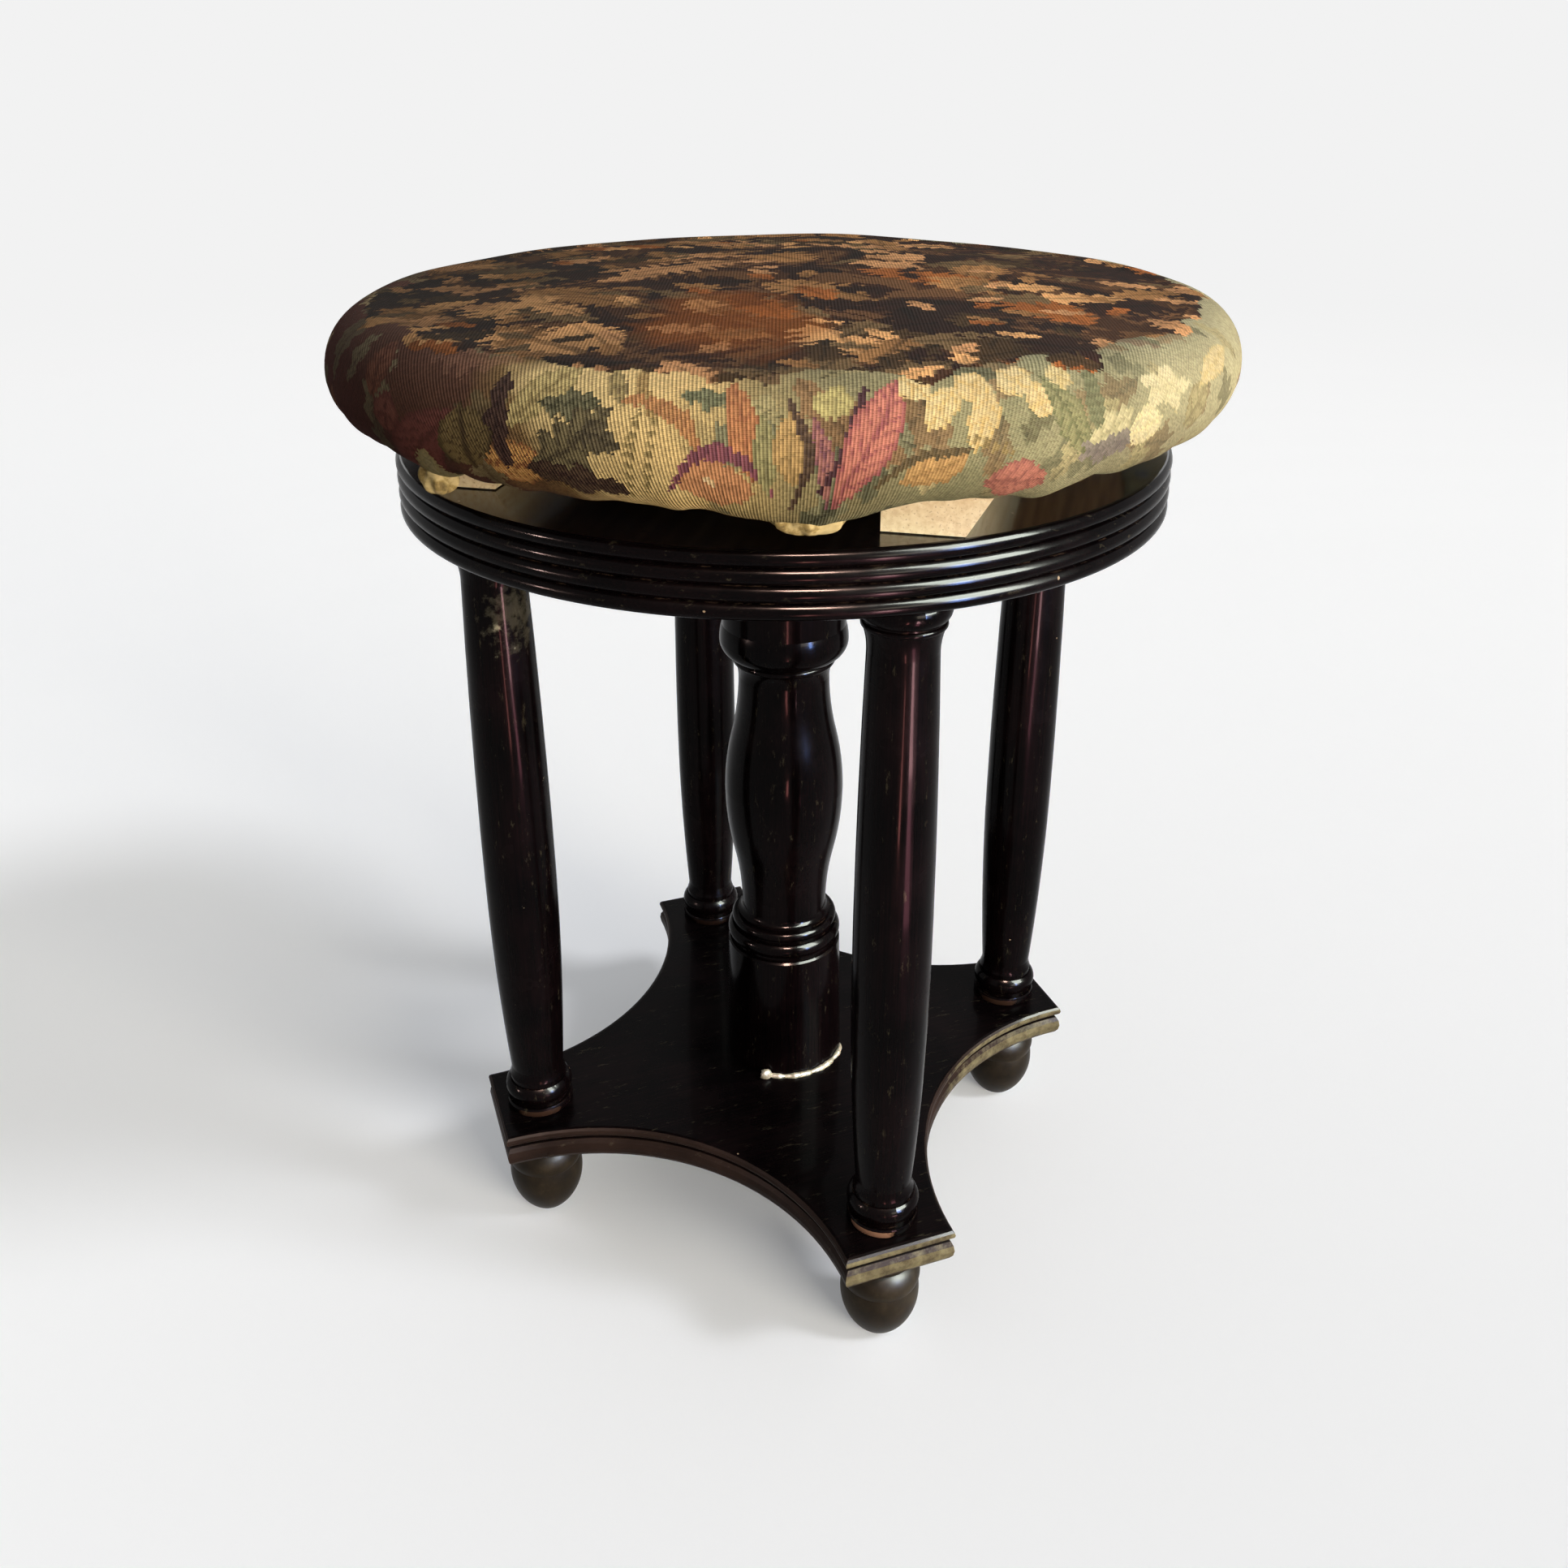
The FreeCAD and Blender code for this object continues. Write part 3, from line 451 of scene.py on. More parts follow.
# kind, place u and v, turn, half length, half width, lobes or petals, bend, light colour, dark colour
tapestryMotifs = [
    ("leaf", -145, -123, 56, 8.8, 5.9, 0, 0, "#623f32", "#482a22"),
    ("leaf", -147, -141, -145, 6.1, 6.8, 0, 0, "#633d36", "#482825"),
    ("leaf", -151, -160, 177, 30.1, 9.6, 0, 0, "#633a36", "#4c2b28"),
    ("scale", -115, -172, 67, 9.2, 11.2, 0, 0, "#6f5f3f", "#3f3322"),
    ("scale", -98, -189, -21, 12.1, 6.3, 0, 0, "#c9995f", "#84583a"),
    ("leaf", -170, -169, -80, 7.8, 24.5, 0, 0, "#867e62", "#867a58"),
    ("leaf", -97, -174, -111, 13.6, 4.9, 3, 0, "#4a3731", "#2c1d1c"),
    ("leaf", -78, -170, 32, 14.0, 5.5, 0, 0.2, "#b9a876", "#857650"),
    ("leaf", -70, -177, -11, 9.2, 4.5, 3, 0, "#6d6a52", "#40402f"),
    ("leaf", -73, -190, 17, 15.1, 8.0, 5, 0.2, "#6f664c", "#453e2f"),
    ("leaf", -62, -191, -31, 6.3, 4.5, 3, 0, "#5e5643", "#3d372b"),
    ("leaf", -76, -202, -30, 17.5, 5.1, 3, 0, "#4c3c30", "#33241f"),
    ("ladder", -53, -198, -113, 13.1, 1.3, 0, 1.5, "#6a5a3c", "#8d7c54"),
    ("ladder", -45, -199, -107, 12.0, 1.3, 0, -1.5, "#6a5a3c", "#8d7c54"),
    ("stem", -45, -176, -89, 9.3, 1.6, 0, 2.0, "#a88f5f", "#745d3d"),
    ("leaf", -53, -173, -82, 7.7, 2.5, 0, 0, "#9a8a60", "#6c5f44"),
    ("stem", -37, -187, -42, 12.0, 2.1, 0, -5.0, "#b58559", "#8d6445"),
    ("leaf", -25, -183, -7, 7.2, 3.7, 3, 0, "#6f7158", "#4e513d"),
    ("leaf", -14, -194, 99, 14.4, 3.9, 0, 0, "#b07a54", "#8c5c40"),
    ("leaf", -25, -213, -10, 11.3, 7.0, 0, 0, "#bb8762", "#9f7152"),
    ("leaf", -27, -212, -22, 1.9, 1.6, 0, 0, "#d4bd99", "#caae87"),
    ("stem", -22, -202, -6, 15.1, 2.0, 0, -13.0, "#85505a", "#5d3844"),
    ("leaf", -7, -203, -87, 11.0, 3.1, 0, 0, "#8f8a63", "#6f6b4c"),
    ("leaf", 1, -201, -85, 10.5, 4.4, 0, 0.2, "#ae9061", "#86704b"),
    ("stem", 7, -203, -88, 15.0, 1.3, 0, -6.0, "#5c4a3a", "#40322c"),
    ("leaf", 12, -206, -78, 12.1, 2.3, 0, 0, "#9d6c66", "#6f4853"),
    ("leaf", 15, -186, -12, 5.1, 4.9, 0, 0, "#b3a873", "#8f865c"),
    ("stem", 20, -198, 71, 15.5, 1.4, 0, 2.0, "#4d3339", "#3d242c"),
    ("leaf", 28, -198, 69, 21.0, 6.8, 0, 0.1, "#bd7a6c", "#8a4f52"),
    ("leaf", 42, -176, -37, 5.1, 5.1, 0, 0, "#c6b589", "#b89e6c"),
    ("leaf", 51, -182, -113, 8.2, 4.0, 0, 0, "#c6b58a", "#c0a670"),
    ("leaf", 60, -171, -17, 5.0, 5.7, 0, 0, "#c9b68a", "#bfa570"),
    ("leaf", 65, -182, -86, 9.8, 3.9, 0, 0, "#c6b58a", "#c0a670"),
    ("leaf", 74, -165, -27, 5.1, 6.5, 0, 0, "#c6b78e", "#c4ac78"),
    ("leaf", 84, -170, -64, 5.5, 5.0, 0, 0, "#c9b78c", "#bfa874"),
    ("leaf", 90, -158, -2, 3.8, 4.8, 0, 0, "#c3b48a", "#b8a573"),
    ("leaf", 54, -204, 41, 12.0, 5.0, 0, 0.3, "#c09a66", "#9b7a50"),
    ("stem", 47, -201, 33, 15.0, 1.3, 0, -3.0, "#6f6044", "#4e4431"),
    ("ladder", 71, -191, -8, 7.2, 1.5, 0, 0, "#6f6044", "#8d7c54"),
    ("leaf", 89, -200, 19, 12.5, 7.0, 0, 0, "#b9796c", "#8d5952"),
    ("leaf", 97, -172, -37, 14.1, 4.5, 0, 0.2, "#8b8a66", "#67694c"),
    ("stem", 105, -164, -57, 11.0, 3.0, 0, 4.0, "#7d7f62", "#62654c"),
    ("leaf", 116, -167, 61, 10.6, 5.7, 3, 0, "#c7bf9a", "#a8a17f"),
    ("flower", 116, -177, 28, 8.4, 4.5, 5, 0, "#857d77", "#6b6461"),
    ("flower", 124, -168, 34, 8.2, 4.1, 5, 0, "#857d77", "#6b6461"),
    ("leaf", 134, -157, 45, 8.1, 5.8, 0, 0, "#c6be9e", "#cac097"),
    ("flower", 136, -138, 44, 12.7, 7.3, 5, 0, "#c5bd9c", "#b9b18e"),
    ("leaf", 158, -129, 81, 9.1, 6.6, 0, 0, "#a59c78", "#857d5f"),
    ("leaf", 161, -104, 72, 17.0, 3.9, 0, 0, "#c1b38d", "#b8a77b"),
]


# One woven motif at a place on the cloth: where it is, and where its dark lines run
def motif(add, place, kind, u, v, turn, halfLength, halfWidth, lobes, bend):
    plan = tapestry
    cosine, sine = math.cos(math.radians(turn)), math.sin(math.radians(turn))
    halfLength, halfWidth = halfLength * plan["motifScale"], halfWidth * plan["motifScale"]
    axes = []
    for alongU, alongV in ((cosine / halfLength, sine / halfLength), (-sine / halfWidth, cosine / halfWidth)):
        part = add("Math", "MULTIPLY_ADD", (place[1], alongV, -u * alongU - v * alongV))
        axes.append(add("Math", "MULTIPLY_ADD", (place[0], alongU, part)))
    x, y = axes
    if kind == "flower":
        petals = add("Math", "ARCTAN2", (y, x))
        petals = add("Math", "MULTIPLY", (petals, float(lobes)))
        petals = add("Math", "COSINE", (petals,))
        edge = add("Math", "MULTIPLY_ADD", (petals, plan["petalDepth"], 1 - plan["petalDepth"]))
        reach = add("Math", "MULTIPLY", (x, x))
        reach = add("Math", "MULTIPLY_ADD", (y, y, reach))
        reach = add("Math", "SQRT", (reach,))
        inside = add("Math", "LESS_THAN", (reach, edge))
        gap = add("Math", "MULTIPLY_ADD", (edge, -3.0, 2.6))
        heart = add("Math", "MULTIPLY_ADD", (reach, -3.0, 1.2))
        return inside, add("Math", "MAXIMUM", (gap, heart))
    square = add("Math", "MULTIPLY", (x, x))
    if bend:
        y = add("Math", "MULTIPLY_ADD", (square, -bend / (halfWidth if kind != "leaf" else 1), y))
    y = add("Math", "ABSOLUTE", (y,))
    if kind in ("stem", "ladder"):
        within = add("Math", "LESS_THAN", (square, 1.0))
        taper = add("Math", "MULTIPLY_ADD", (square, -0.5, 1.0))
        inside = add("Math", "LESS_THAN", (y, taper))
        inside = add("Math", "MULTIPLY", (inside, within))
        rungs = add("Math", "MULTIPLY", (x, halfLength / plan["rungs"]))
        rungs = add("Math", "FRACT", (rungs,))
        if kind == "ladder":
            rungs = add("Math", "LESS_THAN", (rungs, 0.55))
            inside = add("Math", "MULTIPLY", (inside, rungs))
        return inside, rungs
    body = add("Math", "SUBTRACT", (1.0, square))
    if lobes:
        wave = add("Math", "MULTIPLY", (x, math.pi * lobes))
        wave = add("Math", "COSINE", (wave,))
        wave = add("Math", "MULTIPLY_ADD", (wave, plan["lobeDepth"], 0.8))
        body = add("Math", "MULTIPLY", (body, wave))
    inside = add("Math", "LESS_THAN", (y, body))
    slope = add("Math", "MULTIPLY_ADD", (y, -0.45, x))
    slope = add("Math", "MULTIPLY", (slope, halfLength / plan["veins"][kind]))
    slope = add("Math", "PINGPONG", (slope, 0.5))
    side = add("Math", "MULTIPLY_ADD", (slope, -5.0, 1.0))
    rib = add("Math", "MULTIPLY_ADD", (y, -8.0, 1.25))
    rim = add("Math", "DIVIDE", (y, body))
    rim = add("Math", "MULTIPLY_ADD", (rim, 3.6, -2.6))
    vein = add("Math", "MAXIMUM", (rib, side))
    return inside, add("Math", "MAXIMUM", (vein, rim))


# Leaves strewn at random: each cell of a Voronoi pattern may hold one, turned and toned its own way
def strewLeaves(add, spot, under, tones, layers):
    for pitch, halfLength, halfWidth, lobes, seed, share in layers:
        moved = add("VectorMath", "ADD", (spot, (seed, seed * 0.37, 0)))
        cells = add("TexVoronoi", "2D", {"Vector": moved, "Scale": 1 / pitch, "Randomness": 0.9})
        local = add("VectorMath", "SUBTRACT", (moved, cells.outputs["Position"]))
        chance = add("SeparateColor", (cells.outputs["Color"],)).outputs
        turn = add("Math", "MULTIPLY", (chance["Red"], math.tau))
        local = add("VectorRotate", "Z_AXIS", {"Vector": local, "Angle": turn})
        local = add("VectorMath", "MULTIPLY", (local, (1 / halfLength, 1 / halfWidth, 0)))
        parts = add("SeparateXYZ", (local,)).outputs
        x = parts["X"]
        y = add("Math", "ABSOLUTE", (parts["Y"],))
        body = add("Math", "MULTIPLY", (x, x))
        body = add("Math", "SUBTRACT", (1.0, body))
        wave = add("Math", "MULTIPLY", (x, math.pi * lobes))
        wave = add("Math", "COSINE", (wave,))
        wave = add("Math", "MULTIPLY_ADD", (wave, tapestry["lobeDepth"], 0.78))
        body = add("Math", "MULTIPLY", (body, wave))
        inside = add("Math", "LESS_THAN", (y, body))
        shade = add("Math", "MULTIPLY_ADD", (x, 0.34, 0.94))
        rib = add("Math", "LESS_THAN", (y, 0.09))
        shade = add("Math", "MULTIPLY_ADD", (rib, -0.4, shade))
        kept = add("Math", "LESS_THAN", (chance["Blue"], share))
        kept = add("Math", "MULTIPLY", (inside, kept))
        colour = add("ValToRGB", tones, (chance["Green"],))
        colour.color_ramp.interpolation = "CONSTANT"
        colour = add("HueSaturation", {"Color": colour, "Value": shade})
        under = add("Mix", "RGBA", (kept, under, colour))
    return under


def verdureTapestry():
    plan = tapestry
    material, add = newMaterial("verdureTapestryWoven")
    flat = add("UVMap", "flatCloth", ())
    flat = add("VectorMath", "SCALE", (flat, 1 / mm))
    thread = add("VectorMath", "SNAP", (flat, (plan["rib"], plan["pick"], 1.0)))
    stray = add("TexWhiteNoise", "2D", {"Vector": thread}).outputs["Value"]
    ribOnly = add("VectorMath", "MULTIPLY", (thread, (1, 0, 0)))
    uneven = add("TexWhiteNoise", "2D", {"Vector": ribOnly}).outputs["Value"]
    run = add("Math", "ADD", (uneven, stray))
    run = add("Math", "MULTIPLY_ADD", (run, plan["tooth"], -plan["tooth"]))
    run = add("CombineXYZ", {"Y": run})
    spot = add("VectorMath", "ADD", (thread, run))
    drift = add("TexNoise", "2D", {"Vector": spot, "Scale": 1 / plan["wanderSize"], "Detail": 3.0})
    drift = add("SeparateColor", (drift.outputs["Color"],)).outputs
    drift = [add("Math", "MULTIPLY_ADD", (drift[name], plan["wander"] * 2, -plan["wander"]))
             for name in ("Red", "Green")]
    drift = add("CombineXYZ", drift)
    spot = add("VectorMath", "ADD", (spot, drift))
    parts = add("SeparateXYZ", (spot,)).outputs

    # the dark middle: undergrowth in broad patches, with strewn lobed leaves over it
    patches = add("TexNoise", "2D", {
        "Vector": spot, "Scale": 1 / plan["patchSize"], "Detail": 3.0, "Roughness": 0.6, "Distortion": 0.8})
    dark = add("ValToRGB", plan["darkGround"], (patches,))
    dark.color_ramp.interpolation = "CONSTANT"
    dark = strewLeaves(add, spot, dark, plan["darkLeaves"], plan["darkLayers"])
    patch = plan["rustPatch"]
    near = add("VectorMath", "SUBTRACT", (spot, patch["at"]))
    near = add("VectorMath", "DIVIDE", (near, patch["size"]))
    near = add("VectorMath", "LENGTH", (near,)).outputs["Value"]
    near = add("Math", "MULTIPLY_ADD", (patches, 1.2, near))
    rust = add("MapRange", (near, 1.65, 1.3, 0.0, 0.6))
    dark = add("Mix", "RGBA", (rust, dark, patch["colour"]))
    # painted shade: the dark middle darker to the left and lighter to the right, standing in for the fall of
    # light, its colours a touch more saturated
    paintedShade = add("MapRange", (parts["X"], *plan["paintedShadeRun"]))
    dark = add("HueSaturation", {"Color": dark, "Value": paintedShade, "Saturation": plan["paintedShadeSaturation"]})

    # the border: its ground runs from reddish brown at the left through cream to sage and pale straw
    sway = add("TexNoise", "2D", {
        "Vector": spot, "Scale": 1 / plan["swaySize"], "Detail": 2.0, "Roughness": 0.55})
    tone = add("Math", "MULTIPLY_ADD", (parts["X"], *plan["toneRun"]))
    tone = add("Math", "MULTIPLY_ADD", (sway, plan["toneSway"], tone))
    pale = add("ValToRGB", plan["paleGround"], (tone,))
    leafy = strewLeaves(add, spot, pale, plan["paleLeaves"], plan["paleLayers"])
    cream = add("MapRange", (tone, *plan["turnsPlain"]))
    past = add("MapRange", (tone, *plan["turnsLeafy"]))
    calm = add("MapRange", (tone, *plan["turnsCalm"]))
    plain = add("Math", "SUBTRACT", (cream, past))
    plain = add("Math", "ADD", (plain, calm))
    pale = add("Mix", "RGBA", (plain, leafy, pale))

    # the motifs lie on the near half of the border, and mirrored on the far half
    hatch = add("Math", "MULTIPLY_ADD", (stray, 0.5, -0.25))
    mirrored = add("Math", "ABSOLUTE", (parts["Y"],))
    mirrored = add("Math", "MULTIPLY", (mirrored, -1.0))
    drawn, covered = "#000000", 0.0
    for *shape, light, dim in tapestryMotifs:
        inside, lines = motif(add, (parts["X"], mirrored), *shape)
        lines = add("Math", "MAXIMUM", (lines, 0.0))
        lines = add("Math", "ADD", (lines, hatch))
        own = add("Mix", "RGBA", (lines, light, dim))
        drawn = add("Mix", "RGBA", (inside, drawn, own))
        covered = add("Math", "MAXIMUM", (inside, covered))
    pale = add("Mix", "RGBA", (covered, pale, drawn))

    # the border begins at the shoulder, along a leafy edge
    fromMiddle = add("VectorMath", "LENGTH", (spot,)).outputs["Value"]
    ragged = add("Math", "MULTIPLY_ADD", (sway, plan["borderSway"], fromMiddle))
    border = add("Math", "GREATER_THAN", (ragged, plan["borderStart"]))
    colour = add("Mix", "RGBA", (border, dark, pale))

    # threads: each a touch lighter or darker than the next, and the whole grubby from hands
    shade = add("MapRange", (stray, 0.0, 1.0, *plan["threadShade"]))
    grime = add("TexNoise", "2D", {"Vector": flat, "Scale": 1 / plan["grimeSize"], "Detail": 4.0})
    grime = add("MapRange", (grime, 0.35, 0.65, *plan["grime"]))
    shade = add("Math", "MULTIPLY", (shade, grime))
    colour = add("HueSaturation", {"Color": colour, "Value": shade})
    ribs = add("VectorMath", "MULTIPLY", (flat, (math.tau / plan["rib"], math.tau / plan["pick"], 0)))
    ribs = add("VectorMath", "COSINE", (ribs,))
    cloth = add("VectorMath", "DOT_PRODUCT", (ribs, (1.0, 0.45, 0.0))).outputs["Value"]
    cloth = add("Math", "MULTIPLY_ADD", (stray, 0.9, cloth))
    relief = add("Bump", {"Strength": 0.6, "Distance": 0.18 * mm, "Height": cloth})
    shader = add("BsdfPrincipled", {
        "Base Color": colour, "Roughness": 0.95, "IOR": 1.45, "Specular IOR Level": 0.02,
        "Sheen Weight": 0.006, "Sheen Roughness": 0.5, "Normal": relief})
    return finished(material, shader)


print("materials")
columnPlaces = {}
for side in ("front", "right", "back", "left"):
    low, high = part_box("column_" + side)
    columnPlaces[side] = (low + high) / 2
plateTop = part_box("base_plate")[1].z

# Where shoes, room dust and plaster have marked the polish, and where a painted highlight lies with the dust
# on mouldings facing the key lamp. Angles are in degrees round from the camera.
marks = {
    # on each column's foot: angle and strength
    "shoes": {"front": (-25, 0.8), "left": (10, 0.12), "right": (-20, 0.1), "back": (0, 0.05)},
    "shoeBand": (0.2 * mm, 3.4 * mm),   # above the plate
    # the way the plate's mouldings face where they take dust and a painted highlight, near the key lamp's way
    "dustAndLightFrom": 30,
    # plaster on the left column: drop from its top, way forward and to the right, size and strength.
    # A rubbed patch under the top board, a touch lower down, and a faint smear beside both.
    "plaster": [(27 * mm, 15 * mm, 4 * mm, 9 * mm, 0.75), (58 * mm, 16 * mm, 4 * mm, 4.5 * mm, 0.5),
                (52 * mm, 12 * mm, 15 * mm, 30 * mm, 0.07)],
}
plasterMarks = []
for drop, forward, aside, size, strength in marks["plaster"]:
    centre = Vector((columnPlaces["left"].x, columnPlaces["left"].y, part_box("column_left")[1].z - drop))
    plasterMarks.append((tuple(centre + viewFront * forward + viewRight * aside), size, strength))
for number, (side, place) in enumerate(columnPlaces.items()):
    angle, strength = marks["shoes"][side]
    lowest, highest = (plateTop + height for height in marks["shoeBand"])
    dress(ebonisedBeech(side, "z", gloss=0.14, arrisWear=0.35, seed=3.1 * number,
                        footWear=((place.x, place.y, 0), tuple(outAt(angle)), lowest, highest, strength),
                        smudges=plasterMarks if side == "left" else ()), "column_" + side)
dress(ebonisedBeech("baluster", "z", gloss=0.12, arrisWear=0.3, seed=7.7), "baluster")
dress(ebonisedBeech("plate", "x", gloss=0.2, arrisWear=0.9, seed=11.3,
                    dustAndLightFrom=tuple(outAt(marks["dustAndLightFrom"])), sideWear=0.6), "base_plate")
dress(ebonisedBeech("board", "x", gloss=0.13, arrisWear=0.45, seed=19.9, coatRough=0.12,
                    mirrorAbove=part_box("top_board")[1].z - 0.3 * mm), "top_board")
dress(dullFeet(), *["foot_" + side for side in columnPlaces])
dress(bareSawn("bareSawnBeech"), "cleat_left", "cleat_right")
dress(bareSawn("barePineBoard"), "seat_board")
dress(ironwork("castIronJapanned"), "spindle_nut", "spindle_flange")
turnedSteel = ironwork("turnedSteelGreased")
dress(turnedSteel, "stop_washer", "stop_nut")
dress(ironwork("drawnSteelDull"), "nut_screws", "flange_screws", "cleat_screws")
dress(ironwork("bluedSteelTacks"), "cover_tacks")

# The cover's lie, in millimetres from the CAD piece: profile arcs, then what hands and time did to it
cover = {
    "columns": 560,
    "middle": 0.5,              # radius of the first ring, in the middle of the crown
    "shoulder": (163.0, 6.0),   # radius, and drop below the crown
    "waist": (191.5, 33.0),
    "roll": (172.0, 49.7),
    "hem": 150.0,
    "bulges": (10.0, 4.6),      # of the shoulder and roll arcs
    "steps": (24, 20, 16, 8),   # along the crown, shoulder, roll and hem
    "thickness": 1.4,
    # waves round the cover: how many, phase and height
    "swells": [(2, 0.7, 0.55), (3, 2.1, 0.4), (5, 4.0, 0.35), (8, 1.2, 0.25), (13, 5.2, 0.16)],
    "gathers": [(31, 0.4, 0.42), (43, 1.9, 0.36), (57, 3.3, 0.28), (71, 0.9, 0.2)],
    "rightHollow": 1.6,         # how far the side is drawn in at the right
    "dimples": 0.5,             # of the crown
    # slack cloth between tacks: angle round from the camera, width in degrees, drop
    "pockets": [(-46, 4.2, 4.0), (-28, 8.0, 0.8), (-12, 8.0, 1.0), (-4.0, 5.0, 4.0), (3.0, 6.6, 7.5),
                (29, 4.5, 3.5), (46, 7.0, 0.8), (68, 7.0, 1.2), (-72, 8.0, 1.0), (95, 7.0, 3.0),
                (124, 8.0, 2.0), (152, 6.0, 5.0), (178, 8.0, 2.0), (-157, 6.0, 4.5), (-131, 8.0, 2.5),
                (-104, 7.0, 3.0)],
}


# Points along an arc from start, left out, to end; it bulges to the left of the way
def arcPoints(start, end, bulge, count):
    start, end = np.array(start, float), np.array(end, float)
    chord = end - start
    length = np.hypot(*chord)
    outward = np.array((-chord[1], chord[0])) / length
    radius = (length ** 2 / 4 + bulge ** 2) / (2 * bulge)
    centre = (start + end) / 2 + outward * (bulge - radius)
    half = math.asin(length / 2 / radius)
    base = math.atan2(outward[1], outward[0])
    angles = base - np.linspace(-half, half, count + 1)[1:]
    return [tuple(centre + radius * np.array((math.cos(a), math.sin(a)))) for a in angles]


# The cover's profile from the middle of the crown to the hem: radius, height, and length along the cloth
def coverProfile():
    plan = cover
    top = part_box("seat_cover")[1].z / mm
    shoulder, waist, roll = ((plan[name][0], top - plan[name][1]) for name in ("shoulder", "waist", "roll"))
    crownSteps, shoulderSteps, rollSteps, hemSteps = plan["steps"]
    profile = [(plan["middle"], top)]
    for step in range(1, crownSteps + 1):
        share = step / crownSteps
        profile.append((shoulder[0] * share, top - plan["shoulder"][1] * share ** 2))
    profile += arcPoints(shoulder, waist, plan["bulges"][0], shoulderSteps)
    profile += arcPoints(waist, roll, plan["bulges"][1], rollSteps)
    for step in range(1, hemSteps + 1):
        profile.append((roll[0] + (plan["hem"] - roll[0]) * step / hemSteps, roll[1]))
    profile = np.array(profile)
    steps = np.hypot(*np.diff(profile, axis=0).T)
    return profile, plan["middle"] + np.concatenate([[0.0], np.cumsum(steps)])


# Angles round from the camera, in radians, and the way out at each
def roundTheSeat(columns):
    turn = np.linspace(0, math.tau, columns, endpoint=False)
    return turn, np.outer(np.cos(turn), viewFront[:2]) + np.outer(np.sin(turn), viewRight[:2])


# The lie of the cloth at each profile point and each angle round from the camera, drawn in by some depth
def coverSurface(profile, along, columns, depth):
    plan = cover
    turn, direction = roundTheSeat(columns)
    top = profile[0, 1]
    tangent = np.gradient(profile, axis=0)
    tangent /= np.hypot(tangent[:, 0], tangent[:, 1])[:, None]
    r, z = profile[:, 0][:, None], profile[:, 1][:, None]
    nr, nz = -tangent[:, 1][:, None], tangent[:, 0][:, None]
    fall = np.clip((top - z) / plan["roll"][1], 0, 1)       # 0 on the crown, 1 at the roll's foot
    inward = np.clip((plan["roll"][0] - r) / (plan["roll"][0] - plan["hem"]), 0, 1) * (along[:, None] > 200)
    around = turn[None, :]

    # stuffing: broad unevenness of the crown and side, none where the cloth is drawn tight to the board
    swell = np.zeros((len(profile), columns))
    for count, phase, size in plan["swells"]:
        swell = swell + size * np.cos(count * around + phase + 1.3 * fall * math.sin(count))
    swell = (swell - 0.5) * np.clip(r / 120, 0, 1) ** 2 * (1 - fall ** 4)
    swell = swell - plan["rightHollow"] * np.clip(np.sin(around), 0, 1) * np.sin(math.pi * fall ** 3)
    dimple = np.cos(r / 21 + 2.0) * np.cos(2 * around + r / 60) * np.exp(-(r / 140) ** 2)
    swell = swell + plan["dimples"] * dimple * np.clip(r / 30, 0, 1)

    # gathers: small pleats that run up from the tacked edge and die away at the waist
    gather = np.zeros(columns)
    for count, phase, size in plan["gathers"]:
        gather = gather + size * np.cos(count * turn + phase + 1.5 * np.sin(3 * turn + phase))
    gather = gather[None, :] * np.clip((fall - 0.5) / 0.5, 0, 1) ** 1.6 * (1 - 0.5 * inward)
    push = swell + gather - depth
    radius = r + nr * push
    height = z + nz * push

    # pockets of slack cloth that hang below the tacked hem
    drop = np.zeros(columns)
    for angle, width, deep in plan["pockets"]:
        away = (np.degrees(turn) - angle + 180) % 360 - 180
        drop = np.maximum(drop, deep * np.exp(-np.abs(away / width) ** 2.6 * 0.9))
    bag = np.clip((fall - 0.72) / 0.28, 0, 1) ** 1.5 * (1 - inward) ** 1.2
    height = height - drop[None, :] * bag
    radius = radius - 0.45 * drop[None, :] * bag
    return np.stack([radius * direction[None, :, 0], radius * direction[None, :, 1], height], axis=2) * mm


def buildCover(material):
    columns = cover["columns"]
    profile, along = coverProfile()
    points = coverSurface(profile, along, columns, 0.0).reshape(-1, 3)
    faces = skinFaces(len(profile), columns, flip=True)[:-1]      # open below
    piece = meshPiece("tapestryCover", points, faces, material, "seat")

    # the cloth laid flat: each point as far from the middle as the cloth between them is long
    layer = piece.data.uv_layers.new(name="flatCloth")
    reach = np.repeat(along * mm, columns)
    angle = np.tile(roundTheSeat(columns)[0], len(profile))
    uv = np.stack([reach * np.sin(angle), -reach * np.cos(angle)], axis=1)
    index = np.zeros(len(piece.data.loops), int)
    piece.data.loops.foreach_get("vertex_index", index)
    layer.data.foreach_set("uv", uv[index].reshape(-1).astype(np.float32))

    shell = piece.modifiers.new("clothThickness", "SOLIDIFY")
    shell.thickness = cover["thickness"] * mm
    shell.offset = -1
    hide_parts("seat_cover")


# Stuffing in unbleached calico: plain close weave, off-white with darker slubs
stuffing = {
    "tones": [(0.3, "#b9ab8c"), (0.7, "#d6cbb0")],
    "slubs": 7 * mm,
    "weave": 2 * mm,
    "columns": 280,
    "underCover": 0.5,          # below the cloth's inner face
    "offBoard": 0.4 * mm,
    "tucked": 3 * mm,           # under the board's edge, above its underside
    "turnsUnder": (210, 178),   # past this far along the cloth, rings inside this radius are left out
}


